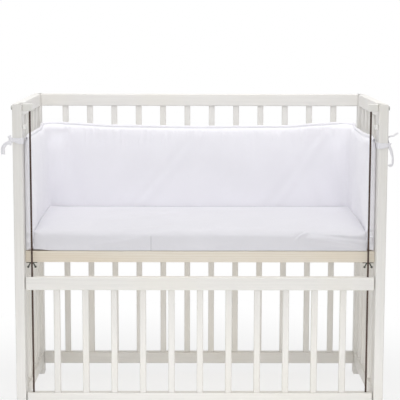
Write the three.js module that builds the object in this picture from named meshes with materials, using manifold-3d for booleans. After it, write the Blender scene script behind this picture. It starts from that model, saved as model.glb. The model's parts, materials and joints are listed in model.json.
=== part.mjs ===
// A padded baby nest tied inside a small bedside cot, with its mattress. The cot's front side slides
// down on two rods and is shown lowered. Millimetres; +X is right, +Y goes back, +Z is up.
import * as THREE from "three";
import { mergeVertices } from "three/addons/utils/BufferGeometryUtils.js";
import Module from "manifold-3d";

const wasm = await Module();
wasm.setup();

// ---------------------------------------------------------------------------------------------
// Driving dimensions. Depths are counted back from the front faces of the posts.
// ---------------------------------------------------------------------------------------------
const JOINT = 0.3; // gap between pieces that touch
const COT = { length: 980, depth: 480, height: 840 };
const POST = { width: 25, depth: 45, radius: 3, shoulder: 6 };
const RAIL = { height: 35, thickness: 22, radius: 3 };
const BAR = { width: 17, thickness: 15, radius: 3 };
const EASED = 1.5; // softened end edges of posts and rails
const FLOOR_GAP = 30; // below the bottom rails

const BACK_BARS = { count: 12, pitch: 71.6 };
const END_BARS = { count: 5, pitch: 77 };
const DROP = { height: 350, front: 8, endGap: 3, bars: 11, pitch: 76.2, rodHole: 9 };
const ROD = { x: 446, diameter: 5, bottom: 14, top: 828 };
const HOLDER = { inner: 438, depth: 18, height: 19, top: 839, rodHole: 5.6 };
const STOP = { proud: 8.5, front: 10, depth: 24, bottom: 773, height: 11 };
const BOLT = { diameter: 12, proud: 4.5, height: 828.5 };

const BASE = { railHeight: 30, railThickness: 22, front: 34, top: 446, board: 12, backGap: 4 };
const BRACKET = { inner: 434, outer: 463, plate: 2, depth: 14, screw: 6, drop: 12.6 };

const MATTRESS = { length: 882, front: 37, depth: 388, thickness: 61, crown: 3.5, endRound: 13 };
const PAD = {
  outerX: 462.8, // outer faces of the two end panels
  backY: 448, // outer face of the back panel
  frontY: 33.5, // front edges of the end panels
  thickness: 20,
  crown: 2.2, // how far the middle of a panel stands proud
  edge: 9, // thickness left at the top and bottom edges
  outerEase: 0.8, // how far those edges stand back from the outer face
  outerRadius: 10,
  innerRadius: 2.5,
};
const BINDING = { height: 9, width: 9.6, gap: 0.4 };
const RIBBON = { thickness: 1.2, clearance: 0.6 };
const TIE_PROUD = 6; // how far the knots reach in front of the posts

// Height of the nest's top edge. "along" runs from the left front end (0) over the two back corners
// (1 and 2) to the right front end (3).
const TOP_EDGE = [
  { along: 0, height: 751 },
  { along: 0.12, height: 755 },
  { along: 0.5, height: 752 },
  { along: 0.93, height: 750 },
  { along: 1, height: 755 },
  { along: 1.06, height: 752 },
  { along: 1.2, height: 749 },
  { along: 1.5, height: 748 },
  { along: 1.8, height: 750 },
  { along: 1.93, height: 757 },
  { along: 2, height: 760 },
  { along: 2.06, height: 748 },
  { along: 2.5, height: 749 },
  { along: 2.88, height: 754 },
  { along: 3, height: 748 },
];

// The ribbon ties: the height of the band's lower and upper edge, the knot, and each free end as the
// middle line of a ribbon. "out" counts outwards from the middle of the cot, "back" from the posts'
// front faces, and "lie" says whether the ribbon shows its face or its edge from the front.
const TIES = {
  left: {
    band: { bottom: 737, top: 752 },
    knot: { out: 493.6, back: 2.6, up: 745.5, size: [6.5, 7.2, 9.5] },
    lobes: [
      { out: 497.5, back: 2, up: 754, size: [4.6, 3, 3.6], tilt: 40 },
      { out: 497, back: 2, up: 736, size: [4, 3, 3.4], tilt: -40 },
    ],
    ends: [
      {
        width: 9,
        lie: "face",
        route: [
          { out: 494, back: 1, up: 741 },
          { out: 501, back: 0.5, up: 737 },
          { out: 508, back: 1, up: 731 },
          { out: 512.2, back: 2, up: 722 },
          { out: 513.6, back: 3, up: 708 },
        ],
      },
    ],
  },
  right: {
    band: { bottom: 724, top: 739.5 },
    knot: { out: 493.4, back: 6.5, up: 733.5, size: [5, 8, 6.5] },
    lobes: [{ out: 494, back: 0.5, up: 736.5, size: [3.6, 3, 3.4], tilt: 30 }],
    ends: [
      {
        width: 9,
        lie: "edge",
        route: [
          { out: 493, back: 9, up: 737 },
          { out: 493.2, back: 14, up: 748 },
          { out: 496, back: 16, up: 757 },
          { out: 506, back: 17, up: 762 },
          { out: 518, back: 18, up: 767.5 },
        ],
      },
      {
        width: 9,
        lie: "edge",
        route: [
          { out: 493.6, back: 6, up: 731 },
          { out: 496, back: 6, up: 720 },
          { out: 500, back: 6.5, up: 706 },
          { out: 502.6, back: 7, up: 692 },
          { out: 501.6, back: 7, up: 683 },
          { out: 497.6, back: 7, up: 679.5 },
          { out: 493.4, back: 7, up: 684 },
        ],
      },
    ],
  },
};

// Worked out from the sizes above.
const SIDES = { left: -1, right: 1 };
const INNER_X = COT.length / 2 - POST.width; // inner faces of the posts
const POST_X = INNER_X + POST.width / 2;
const RAIL_TOP = COT.height - RAIL.height; // underside of the top rails
const LOWER_TOP = FLOOR_GAP + RAIL.height; // top of the bottom rails
const BACK_Y = COT.depth - POST.depth / 2; // middle of the back frame
const DROP_X = INNER_X - DROP.endGap;
const DROP_Y = DROP.front + RAIL.thickness / 2;
const BASE_BACK = BACK_Y - BAR.thickness / 2 - BASE.backGap; // back face of the back base rail
const BEDDING_Z = BASE.top + JOINT;

// ---------------------------------------------------------------------------------------------
// Materials
// ---------------------------------------------------------------------------------------------
const finish = (color, roughness, metalness = 0) =>
  new THREE.MeshStandardMaterial({ color, roughness, metalness });
const PAINT = finish(0xdedcd7, 0.45);
const PALE_WOOD = finish(0xdfd5c4, 0.6);
const WHITE_PLASTIC = finish(0xe6e5e1, 0.4);
const DARK_ROD = finish(0x4a3a33, 0.4, 0.6);
const DARK_STEEL = finish(0x4b4a48, 0.45, 0.8);
const COTTON = finish(0xe9e8ed, 0.9);
const COVER = finish(0xe7e6eb, 0.9);

// ---------------------------------------------------------------------------------------------
// Solids
// ---------------------------------------------------------------------------------------------
function solidOf(geometry) {
  const loose = geometry.index ? geometry.toNonIndexed() : geometry;
  const bare = new THREE.BufferGeometry();
  bare.setAttribute("position", loose.getAttribute("position"));
  const merged = mergeVertices(bare, 1e-3);
  return new wasm.Manifold(
    new wasm.Mesh({
      numProp: 3,
      vertProperties: merged.attributes.position.array,
      triVerts: new Uint32Array(merged.index.array),
    }),
  );
}

function geometryOf(solid) {
  const { vertProperties, triVerts } = solid.getMesh();
  const geometry = new THREE.BufferGeometry();
  geometry.setAttribute("position", new THREE.BufferAttribute(vertProperties, 3));
  geometry.setIndex(new THREE.BufferAttribute(triVerts, 1));
  return geometry;
}

const joined = (geometries) => geometryOf(geometries.map(solidOf).reduce((a, b) => a.add(b)));
const cut = (geometry, tool) => geometryOf(solidOf(geometry).subtract(solidOf(tool)));
const common = (a, b) => geometryOf(solidOf(a).intersect(solidOf(b)));

// A rectangle about the origin with rounded corners.
function roundedRectangle(width, height, radius) {
  const x = width / 2 - radius;
  const y = height / 2 - radius;
  const shape = new THREE.Shape();
  shape.absarc(x, y, radius, 0, Math.PI / 2);
  shape.absarc(-x, y, radius, Math.PI / 2, Math.PI);
  shape.absarc(-x, -y, radius, Math.PI, 1.5 * Math.PI);
  shape.absarc(x, -y, radius, 1.5 * Math.PI, 2 * Math.PI);
  shape.closePath();
  return shape;
}

// A straight length of timber between two corners, rounded along it and eased at its two ends.
function timber(low, high, along, radius, eased = 0) {
  const size = high.map((value, i) => value - low[i]);
  const middle = high.map((value, i) => (value + low[i]) / 2);
  const section = { x: [size[2], size[1]], y: [size[0], size[2]], z: [size[0], size[1]] }[along];
  const length = size["xyz".indexOf(along)];
  const geometry = new THREE.ExtrudeGeometry(roundedRectangle(...section, radius), {
    depth: length - 2 * eased,
    curveSegments: 2,
    bevelEnabled: eased > 0,
    bevelSize: eased,
    bevelOffset: -eased,
    bevelThickness: eased,
    bevelSegments: 1,
  });
  geometry.translate(0, 0, eased - length / 2);
  if (along === "x") geometry.rotateY(Math.PI / 2);
  if (along === "y") geometry.rotateX(Math.PI / 2);
  return geometry.translate(...middle);
}

// A round pin from one end point, along an axis.
function pin(diameter, length, along, start, sides = 16) {
  const geometry = new THREE.CylinderGeometry(diameter / 2, diameter / 2, length, sides);
  if (along === "x") geometry.rotateZ(Math.PI / 2);
  if (along === "z") geometry.rotateX(Math.PI / 2);
  const middle = [...start];
  middle["xyz".indexOf(along)] += length / 2;
  return geometry.translate(...middle);
}

// Joins rings of equally many points into one skin with flat ends, facing outwards.
function loft(rings) {
  const size = rings[0].length;
  const last = (rings.length - 1) * size;
  const index = [];
  for (let a = 0; a < last; a += size) {
    for (let j = 0; j < size; j++) {
      const k = (j + 1) % size;
      index.push(a + j, a + k, a + size + k, a + j, a + size + k, a + size + j);
    }
  }
  for (let j = 1; j < size - 1; j++) {
    index.push(0, j + 1, j, last, last + j, last + j + 1);
  }
  const geometry = new THREE.BufferGeometry().setFromPoints(rings.flat());
  geometry.setIndex(index);
  if (signedVolume(geometry) < 0) geometry.setIndex(index.reverse());
  return geometry;
}

function signedVolume(geometry) {
  const position = geometry.getAttribute("position");
  const corner = (i) => new THREE.Vector3().fromBufferAttribute(position, geometry.index.getX(i));
  let volume = 0;
  for (let i = 0; i < geometry.index.count; i += 3) {
    volume += corner(i).dot(corner(i + 1).cross(corner(i + 2))) / 6;
  }
  return volume;
}

const smooth = (t) => t * t * (3 - 2 * t);
const blend = (a, b, t) => a + (b - a) * t;

// Reads a table of { along, height } rows, easing from one row to the next.
function heightAt(table, along) {
  const next = Math.max(1, table.findIndex((row) => row.along >= along));
  const [from, to] = [table[next - 1], table[next]];
  const share = THREE.MathUtils.clamp((along - from.along) / (to.along - from.along), 0, 1);
  return blend(from.height, to.height, smooth(share));
}

// ---------------------------------------------------------------------------------------------
// The assembly
// ---------------------------------------------------------------------------------------------
const cot = new THREE.Group();
cot.position.y = -(COT.depth - TIE_PROUD) / 2;

function place(name, geometry, material) {
  const mesh = new THREE.Mesh(geometry, material);
  mesh.name = name;
  cot.add(mesh);
}

const numbered = (name, index) => `${name}_${String(index + 1).padStart(2, "0")}`;
const spread = (count, pitch) => Array.from({ length: count }, (_, i) => (i - (count - 1) / 2) * pitch);

// A post's top has one rounded shoulder, on the outside of the cot.
function post(side, low, high) {
  const profile = new THREE.Shape();
  const [inner, outer] = [-POST.width / 2, POST.width / 2];
  profile.moveTo(inner, 0);
  profile.lineTo(outer, 0);
  profile.lineTo(outer, COT.height - POST.shoulder);
  profile.absarc(outer - POST.shoulder, COT.height - POST.shoulder, POST.shoulder, 0, Math.PI / 2);
  profile.lineTo(inner, COT.height);
  profile.closePath();
  const board = new THREE.ExtrudeGeometry(profile, {
    depth: POST.depth,
    curveSegments: 3,
    bevelEnabled: false,
  });
  board.rotateX(Math.PI / 2);
  if (side < 0) board.rotateZ(Math.PI).translate(0, -POST.depth, 0);
  board.translate(side * POST_X, high, 0);
  const x = side * POST_X;
  const half = POST.width / 2;
  const stick = timber([x - half, low, 0], [x + half, high, COT.height], "z", POST.radius, EASED);
  return common(stick, board);
}

for (const [name, side] of Object.entries(SIDES)) {
  place(`post_front_${name}`, post(side, 0, POST.depth), PAINT);
  place(`post_back_${name}`, post(side, COT.depth - POST.depth, COT.depth), PAINT);
}

// Back frame: two rails between the back posts and twelve bars between the rails.
function backRail(bottom) {
  const [x, half] = [INNER_X - JOINT, RAIL.thickness / 2];
  const low = [-x, BACK_Y - half, bottom];
  const high = [x, BACK_Y + half, bottom + RAIL.height];
  return timber(low, high, "x", RAIL.radius, EASED);
}

function bar(x, y, bottom, top, turned = false) {
  const [a, b] = turned ? [BAR.thickness, BAR.width] : [BAR.width, BAR.thickness];
  return timber([x - a / 2, y - b / 2, bottom], [x + a / 2, y + b / 2, top], "z", BAR.radius);
}

place("back_rail_top", backRail(RAIL_TOP), PAINT);
place("back_rail_bottom", backRail(FLOOR_GAP), PAINT);
spread(BACK_BARS.count, BACK_BARS.pitch).forEach((x, i) => {
  const stick = bar(x, BACK_Y, LOWER_TOP + JOINT, RAIL_TOP - JOINT);
  place(numbered("back_bar", i), stick, PAINT);
});

// End frames: a top rail between the posts, and five bars standing on a bottom rail.
function endRail(side, bottom) {
  const [x, half] = [side * POST_X, RAIL.thickness / 2];
  const low = [x - half, POST.depth + JOINT, bottom];
  const high = [x + half, COT.depth - POST.depth - JOINT, bottom + RAIL.height];
  return timber(low, high, "y", RAIL.radius, EASED);
}

function endBars(side) {
  const sunk = 5; // how far the bars stand in their rail
  const sticks = spread(END_BARS.count, END_BARS.pitch).map((y) =>
    bar(side * POST_X, COT.depth / 2 + y, LOWER_TOP - sunk, RAIL_TOP - JOINT, true),
  );
  return joined([endRail(side, FLOOR_GAP), ...sticks]);
}

for (const [name, side] of Object.entries(SIDES)) {
  place(`end_rail_${name}`, endRail(side, RAIL_TOP), PAINT);
  place(`end_bars_${name}`, endBars(side), PAINT);
}

// Drop side, lowered: two rails that slide on the rods, and eleven bars.
function dropRail(bottom) {
  const low = [-DROP_X, DROP.front, bottom];
  const high = [DROP_X, DROP.front + RAIL.thickness, bottom + RAIL.height];
  const hole = (x) => pin(DROP.rodHole, RAIL.height + 2, "z", [x, DROP_Y, bottom - 1]);
  const rail = timber(low, high, "x", RAIL.radius, EASED);
  return cut(cut(rail, hole(-ROD.x)), hole(ROD.x));
}

const dropTop = FLOOR_GAP + DROP.height;
place("drop_rail_top", dropRail(dropTop - RAIL.height), PAINT);
place("drop_rail_bottom", dropRail(FLOOR_GAP), PAINT);
spread(DROP.bars, DROP.pitch).forEach((x, i) => {
  const stick = bar(x, DROP_Y, LOWER_TOP + JOINT, dropTop - RAIL.height - JOINT);
  place(numbered("drop_bar", i), stick, PAINT);
});

// Guide rods in their holders. The raised drop side comes up to the stops.
function holder(side, bottom, rodLow, rodHigh) {
  const [a, b] = [side * HOLDER.inner, side * (INNER_X - JOINT)].sort((p, q) => p - q);
  const low = [a, DROP_Y - HOLDER.depth / 2, bottom];
  const high = [b, DROP_Y + HOLDER.depth / 2, bottom + HOLDER.height];
  const socket = pin(HOLDER.rodHole, rodHigh - rodLow, "z", [side * ROD.x, DROP_Y, rodLow]);
  return cut(timber(low, high, "x", RAIL.radius, EASED), socket);
}

function stop(side) {
  const [a, b] = [side * (INNER_X - STOP.proud), side * (INNER_X - JOINT)].sort((p, q) => p - q);
  const low = [a, STOP.front, STOP.bottom];
  const high = [b, STOP.front + STOP.depth, STOP.bottom + STOP.height];
  return timber(low, high, "y", RAIL.radius, EASED);
}

function boltHead(side) {
  const face = COT.length / 2 + JOINT;
  const start = side > 0 ? face : -face - BOLT.proud;
  return pin(BOLT.diameter, BOLT.proud, "x", [start, DROP_Y, BOLT.height], 20);
}

const holderTop = HOLDER.top - HOLDER.height; // underside of the top holders
const holderBottom = FLOOR_GAP - JOINT - HOLDER.height;
for (const [name, side] of Object.entries(SIDES)) {
  const rod = pin(ROD.diameter, ROD.top - ROD.bottom, "z", [side * ROD.x, DROP_Y, ROD.bottom], 12);
  place(`rod_${name}`, rod, DARK_ROD);
  const above = holder(side, holderTop, holderTop - 1, ROD.top + JOINT);
  place(`rod_holder_top_${name}`, above, WHITE_PLASTIC);
  const below = holder(side, holderBottom, ROD.bottom - JOINT, FLOOR_GAP);
  place(`rod_holder_bottom_${name}`, below, WHITE_PLASTIC);
  place(`stop_${name}`, stop(side), WHITE_PLASTIC);
  place(`bolt_${name}`, boltHead(side), DARK_STEEL);
}

// Mattress base: a rail at the front and back with a board between them.
function baseRail(front) {
  const x = INNER_X - JOINT;
  const low = [-x, front, BASE.top - BASE.railHeight];
  const high = [x, front + BASE.railThickness, BASE.top];
  return timber(low, high, "x", RAIL.radius / 2, EASED / 2);
}

const baseBackFront = BASE_BACK - BASE.railThickness;
place("base_rail_front", baseRail(BASE.front), PALE_WOOD);
place("base_rail_back", baseRail(baseBackFront), PALE_WOOD);
const boardFront = BASE.front + BASE.railThickness + JOINT;
const boardX = INNER_X - 1;
const board = timber(
  [-boardX, boardFront, BASE.top - BASE.board],
  [boardX, baseBackFront - JOINT, BASE.top],
  "x",
  RAIL.radius / 2,
);
place("base_board", board, PALE_WOOD);

// A small steel strap under each front corner of the base, with two slanted lugs and round screws.
function bracket(side) {
  const top = BASE.top - BASE.railHeight - JOINT;
  const [a, b] = [side * BRACKET.inner, side * BRACKET.outer].sort((p, q) => p - q);
  const front = BASE.front + 2;
  const plate = new THREE.BoxGeometry(b - a, BRACKET.depth, BRACKET.plate);
  plate.translate((a + b) / 2, front + BRACKET.depth / 2, top - BRACKET.plate / 2);
  const pieces = [plate];
  for (const [offset, lean] of [[-9.5, 28], [9.5, -28]]) {
    const x = (a + b) / 2 + offset;
    const lug = new THREE.BoxGeometry(3, BRACKET.plate, BRACKET.drop + 3);
    lug.translate(0, 0, (BRACKET.drop + 3) / 2);
    lug.rotateY(THREE.MathUtils.degToRad(lean));
    lug.translate(x, front + BRACKET.plate / 2, top - BRACKET.drop);
    const slab = new THREE.BoxGeometry(200, 200, 200).translate(x, front, top - 100);
    pieces.push(common(lug, slab));
    pieces.push(pin(BRACKET.screw, 3.5, "y", [x, front - 1.2, top - BRACKET.drop], 16));
  }
  return joined(pieces);
}

for (const [name, side] of Object.entries(SIDES)) {
  place(`bracket_${name}`, bracket(side), DARK_STEEL);
}

// ---------------------------------------------------------------------------------------------
// Mattress in its fitted cover: rounded section, crowned top, ends drawn in. The front edge slopes
// more and more towards the right end, where the cover is pulled, and lifts a little at the left.
// ---------------------------------------------------------------------------------------------
function mattressRing(x, inset) {
  const share = x / (MATTRESS.length / 2);
  const rightSlope = smooth(THREE.MathUtils.clamp((share - 0.55) / 0.45, 0, 1));
  const leftLift = smooth(THREE.MathUtils.clamp((-share - 0.8) / 0.2, 0, 1));
  const top = BEDDING_Z + MATTRESS.thickness - inset;
  const front = MATTRESS.front + inset + 3 * share ** 8;
  const back = MATTRESS.front + MATTRESS.depth - inset;
  const bottom = BEDDING_Z + inset;
  const corners = [
    { y: front, z: bottom, radius: 7 + 5 * leftLift, from: Math.PI },
    { y: back, z: bottom, radius: 7, from: 1.5 * Math.PI },
    { y: back, z: top, radius: 12, from: 0 },
    { y: front, z: top, radius: 19 + 16 * rightSlope, from: 0.5 * Math.PI },
  ];
  const inward = [
    [1, 1],
    [-1, 1],
    [-1, -1],
    [1, -1],
  ];
  const arcs = corners.map(({ y, z, radius, from }, i) => {
    const r = Math.max(1, radius - inset);
    const [cy, cz] = [y + inward[i][0] * r, z + inward[i][1] * r];
    return Array.from({ length: 5 }, (_, k) => {
      const angle = from + (k * Math.PI) / 8;
      return new THREE.Vector3(x, cy + r * Math.cos(angle), cz + r * Math.sin(angle));
    });
  });
  const [frontBottom, backBottom, backTop, frontTop] = arcs;
  const topSpan = [1, 2, 3, 4].map((k) => backTop[4].clone().lerp(frontTop[0], k / 5));
  const faceSpan = [1, 2].map((k) => frontTop[4].clone().lerp(frontBottom[0], k / 3));
  const ring = [...frontBottom, ...backBottom, ...backTop, ...topSpan, ...frontTop, ...faceSpan];
  const middleY = MATTRESS.front + MATTRESS.depth / 2;
  for (const point of ring) {
    const acrossY = 1 - ((point.y - middleY) / (MATTRESS.depth / 2)) ** 2;
    const upper = THREE.MathUtils.clamp((point.z - BEDDING_Z) / MATTRESS.thickness, 0, 1);
    const overLength = Math.max(0, 1 - share ** 6);
    point.z += MATTRESS.crown * Math.max(0, acrossY) * overLength * upper ** 2;
    const lower = 1 - THREE.MathUtils.clamp((point.y - MATTRESS.front) / 60, 0, 1);
    point.z += 3.2 * leftLift * lower * (1 - upper);
    point.y -= 2 * Math.sin(Math.PI * upper) * overLength * lower;
  }
  return ring;
}

function mattress() {
  const half = MATTRESS.length / 2;
  const round = MATTRESS.endRound;
  const rings = [];
  for (let k = 0; k < 4; k++) {
    const angle = (k * Math.PI) / 8;
    const stepIn = round * (1 - Math.sin(angle));
    rings.push(mattressRing(-half + round * (1 - Math.cos(angle)), stepIn));
  }
  const spans = 16;
  const straight = half - round;
  for (let k = 0; k <= spans; k++) rings.push(mattressRing(blend(-straight, straight, k / spans), 0));
  for (let k = 3; k >= 0; k--) {
    const angle = (k * Math.PI) / 8;
    const stepIn = round * (1 - Math.sin(angle));
    rings.push(mattressRing(half - round * (1 - Math.cos(angle)), stepIn));
  }
  return loft(rings);
}

place("mattress", mattress(), COVER);

// ---------------------------------------------------------------------------------------------
// The nest: one long pad, folded at the two back corners. Each station has its place on the outer
// and on the inner face, seen from above.
// ---------------------------------------------------------------------------------------------
function padStations() {
  const { outerX, backY, frontY, thickness, outerRadius, innerRadius } = PAD;
  const [innerX, innerY] = [outerX - thickness, backY - thickness];
  const stations = [];
  const add = (along, outer, inner) => {
    stations.push({ along, outer: new THREE.Vector2(...outer), inner: new THREE.Vector2(...inner) });
  };
  const corner = (sign, from, alongAt) => {
    for (let k = 1; k < 5; k++) {
      const angle = from - (k * Math.PI) / 10;
      const arc = (radius, x, y) => [x + radius * Math.cos(angle), y + radius * Math.sin(angle)];
      const outer = arc(outerRadius, sign * (outerX - outerRadius), backY - outerRadius);
      const inner = arc(innerRadius, sign * (innerX - innerRadius), innerY - innerRadius);
      add(alongAt + (k - 2.5) * 0.004, outer, inner);
    }
  };
  const shares = [0, 0.015, 0.05, 0.12, 0.25, 0.4, 0.55, 0.7, 0.82, 0.9, 0.96, 1];
  const outerEnd = backY - outerRadius;
  const innerEnd = innerY - innerRadius;
  for (const t of shares) {
    add(0.99 * t, [-outerX, blend(frontY, outerEnd, t)], [-innerX, blend(frontY, innerEnd, t)]);
  }
  corner(-1, Math.PI, 1);
  const spans = 24;
  const [outerHalf, innerHalf] = [outerX - outerRadius, innerX - innerRadius];
  for (let k = 0; k <= spans; k++) {
    const t = k / spans;
    const outer = [blend(-outerHalf, outerHalf, t), backY];
    add(1.01 + 0.98 * t, outer, [blend(-innerHalf, innerHalf, t), innerY]);
  }
  corner(1, Math.PI / 2, 2);
  for (const t of [...shares].reverse()) {
    add(3 - 0.99 * t, [outerX, blend(frontY, outerEnd, t)], [innerX, blend(frontY, innerEnd, t)]);
  }
  return stations;
}

// How full a panel is: 0 at its ends, 1 over most of its length.
function fullness(along) {
  const withinPanel = along % 1;
  const fromEnd = Math.min(withinPanel, 1 - withinPanel);
  return smooth(THREE.MathUtils.clamp(fromEnd / 0.1, 0, 1));
}

const stations = padStations();
const PAD_ROWS = [0, 0.02, 0.06, 0.14, 0.3, 0.5, 0.7, 0.86, 0.94, 0.98, 1];

// What the pad has lost of its thickness at a height, towards its top and bottom edges.
const edgeLoss = (row) => Math.abs(2 * row - 1) ** 9;

function padRing({ along, outer, inner }) {
  const top = heightAt(TOP_EDGE, along) - BINDING.height;
  const at = (side, row) => {
    const outerLoss = PAD.outerEase * edgeLoss(row);
    const innerLoss = (PAD.thickness - PAD.edge - PAD.outerEase) * edgeLoss(row);
    const proud = PAD.crown * fullness(along) * (1 - edgeLoss(row)) * Math.sin(Math.PI * row) ** 0.5;
    const depth = side === "outer" ? outerLoss : PAD.thickness - innerLoss + proud - PAD.crown;
    const place = outer.clone().lerp(inner, depth / PAD.thickness);
    return new THREE.Vector3(place.x, place.y, blend(BEDDING_Z, top, row));
  };
  const up = PAD_ROWS.map((row) => at("outer", row));
  const down = [...PAD_ROWS].reverse().map((row) => at("inner", row));
  return [...up, ...down];
}

place("nest_pad", loft(stations.map(padRing)), COTTON);

// The binding sits astride the pad's top edge: square below, round above.
function bindingRing({ along, outer, inner }) {
  const bottom = heightAt(TOP_EDGE, along) - BINDING.height + BINDING.gap;
  const half = BINDING.width / 2;
  const middle = PAD.outerEase + PAD.edge / 2;
  const section = [[-half, 0]];
  for (let k = 0; k <= 6; k++) {
    const angle = Math.PI - (k * Math.PI) / 6;
    const rise = BINDING.height - BINDING.gap - half;
    section.push([half * Math.cos(angle), rise + half * Math.sin(angle)]);
  }
  section.push([half, 0]);
  return section.map(([across, up]) => {
    const place = outer.clone().lerp(inner, (middle + across) / PAD.thickness);
    return new THREE.Vector3(place.x, place.y, bottom + up);
  });
}

place("nest_binding", loft(stations.map(bindingRing)), COTTON);

// ---------------------------------------------------------------------------------------------
// Ties: a ribbon right round each front post, a knot on its outer edge, and the free ends.
// ---------------------------------------------------------------------------------------------
function bandRound(side, { bottom, top }) {
  const { thickness, clearance } = RIBBON;
  const outline = (grow, radius) => {
    return roundedRectangle(POST.width + 2 * grow, POST.depth + 2 * grow, radius);
  };
  const ring = outline(clearance + thickness, POST.radius + thickness);
  ring.holes.push(outline(clearance, POST.radius));
  const settings = { depth: top - bottom, curveSegments: 2, bevelEnabled: false };
  const geometry = new THREE.ExtrudeGeometry(ring, settings);
  return geometry.translate(side * POST_X, POST.depth / 2, bottom);
}

function lump(side, { out, back, up, size, tilt = 0 }) {
  const geometry = new THREE.SphereGeometry(1, 10, 7).scale(...size);
  geometry.rotateY(THREE.MathUtils.degToRad(side * tilt));
  return geometry.translate(side * out, back, up);
}

function freeEnd(side, { width, lie, route }) {
  const points = route.map(({ out, back, up }) => new THREE.Vector3(side * out, back, up));
  const curve = new THREE.CatmullRomCurve3(points, false, "centripetal");
  const steps = 4 * (points.length - 1);
  const rings = [];
  for (let k = 0; k <= steps; k++) {
    const middle = curve.getPointAt(k / steps);
    const forward = curve.getTangentAt(k / steps);
    const sideways = new THREE.Vector3(0, 1, 0);
    const upright = new THREE.Vector3().crossVectors(forward, sideways).normalize();
    const across = lie === "face" ? upright : sideways;
    const through = lie === "face" ? sideways : upright;
    const corner = (a, b) => {
      const place = middle.clone().addScaledVector(across, (a * width) / 2);
      return place.addScaledVector(through, (b * RIBBON.thickness) / 2);
    };
    rings.push([corner(-1, -1), corner(1, -1), corner(1, 1), corner(-1, 1)]);
  }
  return loft(rings);
}

function tie(side, { band, knot, lobes, ends }) {
  const postBlock = timber(
    [side * POST_X - POST.width / 2 - JOINT, -JOINT, 0],
    [side * POST_X + POST.width / 2 + JOINT, POST.depth + JOINT, COT.height],
    "z",
    POST.radius,
  );
  const soft = [lump(side, knot), ...lobes.map((lobe) => lump(side, lobe))];
  const tails = ends.map((end) => freeEnd(side, end));
  return cut(joined([bandRound(side, band), ...soft, ...tails]), postBlock);
}

for (const [name, side] of Object.entries(SIDES)) {
  place(`tie_${name}`, tie(side, TIES[name]), COTTON);
}

export default cot;
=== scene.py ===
"""A padded baby nest tied inside a bedside cot: its finishes, cloth and stage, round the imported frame."""

import cmath
import json
import math
from collections import namedtuple

import bmesh
import bpy
import numpy as np
from bpy.props import FloatProperty, FloatVectorProperty, IntProperty, PointerProperty
from mathutils import Matrix, Vector

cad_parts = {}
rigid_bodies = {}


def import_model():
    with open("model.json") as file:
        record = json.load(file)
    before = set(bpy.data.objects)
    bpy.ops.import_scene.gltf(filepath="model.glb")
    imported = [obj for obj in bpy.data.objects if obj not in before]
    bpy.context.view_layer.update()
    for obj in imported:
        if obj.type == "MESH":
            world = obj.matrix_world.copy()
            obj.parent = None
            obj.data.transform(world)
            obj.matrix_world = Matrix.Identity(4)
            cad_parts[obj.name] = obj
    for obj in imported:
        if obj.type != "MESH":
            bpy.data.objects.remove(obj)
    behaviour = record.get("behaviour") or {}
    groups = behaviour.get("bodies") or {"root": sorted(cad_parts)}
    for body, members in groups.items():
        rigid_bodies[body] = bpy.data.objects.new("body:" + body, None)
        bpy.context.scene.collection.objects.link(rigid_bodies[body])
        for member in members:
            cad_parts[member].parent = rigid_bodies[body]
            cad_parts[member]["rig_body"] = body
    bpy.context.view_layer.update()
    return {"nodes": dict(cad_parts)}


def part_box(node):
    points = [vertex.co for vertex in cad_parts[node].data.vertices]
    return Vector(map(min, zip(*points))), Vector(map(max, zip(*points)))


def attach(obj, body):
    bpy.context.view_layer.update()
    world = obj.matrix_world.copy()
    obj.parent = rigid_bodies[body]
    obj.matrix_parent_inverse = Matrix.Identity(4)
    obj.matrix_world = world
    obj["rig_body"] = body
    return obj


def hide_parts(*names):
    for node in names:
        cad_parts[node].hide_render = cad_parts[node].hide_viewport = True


bl_info = {
    "name": "Padded Baby Nest in a Bedside Cot",
    "version": (1, 0, 0),
    "blender": (4, 5, 0),
    "location": "View3D > Sidebar > Baby Nest",
    "description": "Builds a bedside cot with its mattress and a padded nest tied inside it",
    "category": "Add Mesh",
}

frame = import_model()

X, Y, Z = 0, 1, 2
TINY = 1e-5
SIDES = {"left": -1, "right": 1}
POSTS_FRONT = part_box("post_front_left")[0].y  # the plane of the posts' front faces
BED_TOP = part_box("base_rail_front")[1].z

# The nest's top edge: how high it stands at each place. "run" counts from the left front end (0) over
# the two back corners (1 and 2) to the right front end (3).
EdgePoint = namedtuple("EdgePoint", "run height")
TOP_EDGE = [
    EdgePoint(0, 0.751),
    EdgePoint(0.12, 0.755),
    EdgePoint(0.5, 0.752),
    EdgePoint(0.9, 0.750),
    EdgePoint(1, 0.760),
    EdgePoint(1.06, 0.757),
    EdgePoint(1.2, 0.751),
    EdgePoint(1.5, 0.748),
    EdgePoint(1.8, 0.750),
    EdgePoint(1.93, 0.757),
    EdgePoint(2, 0.7605),
    EdgePoint(2.07, 0.751),
    EdgePoint(2.5, 0.7505),
    EdgePoint(2.88, 0.754),
    EdgePoint(3, 0.748),
]


# ---- Settings ----
def linear(red, green, blue):
    """A colour written in display values from 0 to 255, as the linear values that shaders take."""
    shares = [value / 255 for value in (red, green, blue)]
    return tuple(s / 12.92 if s <= 0.04045 else ((s + 0.055) / 1.055) ** 2.4 for s in shares)


def length(name, description, default):
    return FloatProperty(name=name, description=description, default=default, min=0, unit="LENGTH")


def number(name, description, default, unit="NONE"):
    return FloatProperty(name=name, description=description, default=default, unit=unit)


def colour(name, description, *display):
    return FloatVectorProperty(
        name=name, description=description, default=linear(*display), subtype="COLOR", min=0, max=1
    )


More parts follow.
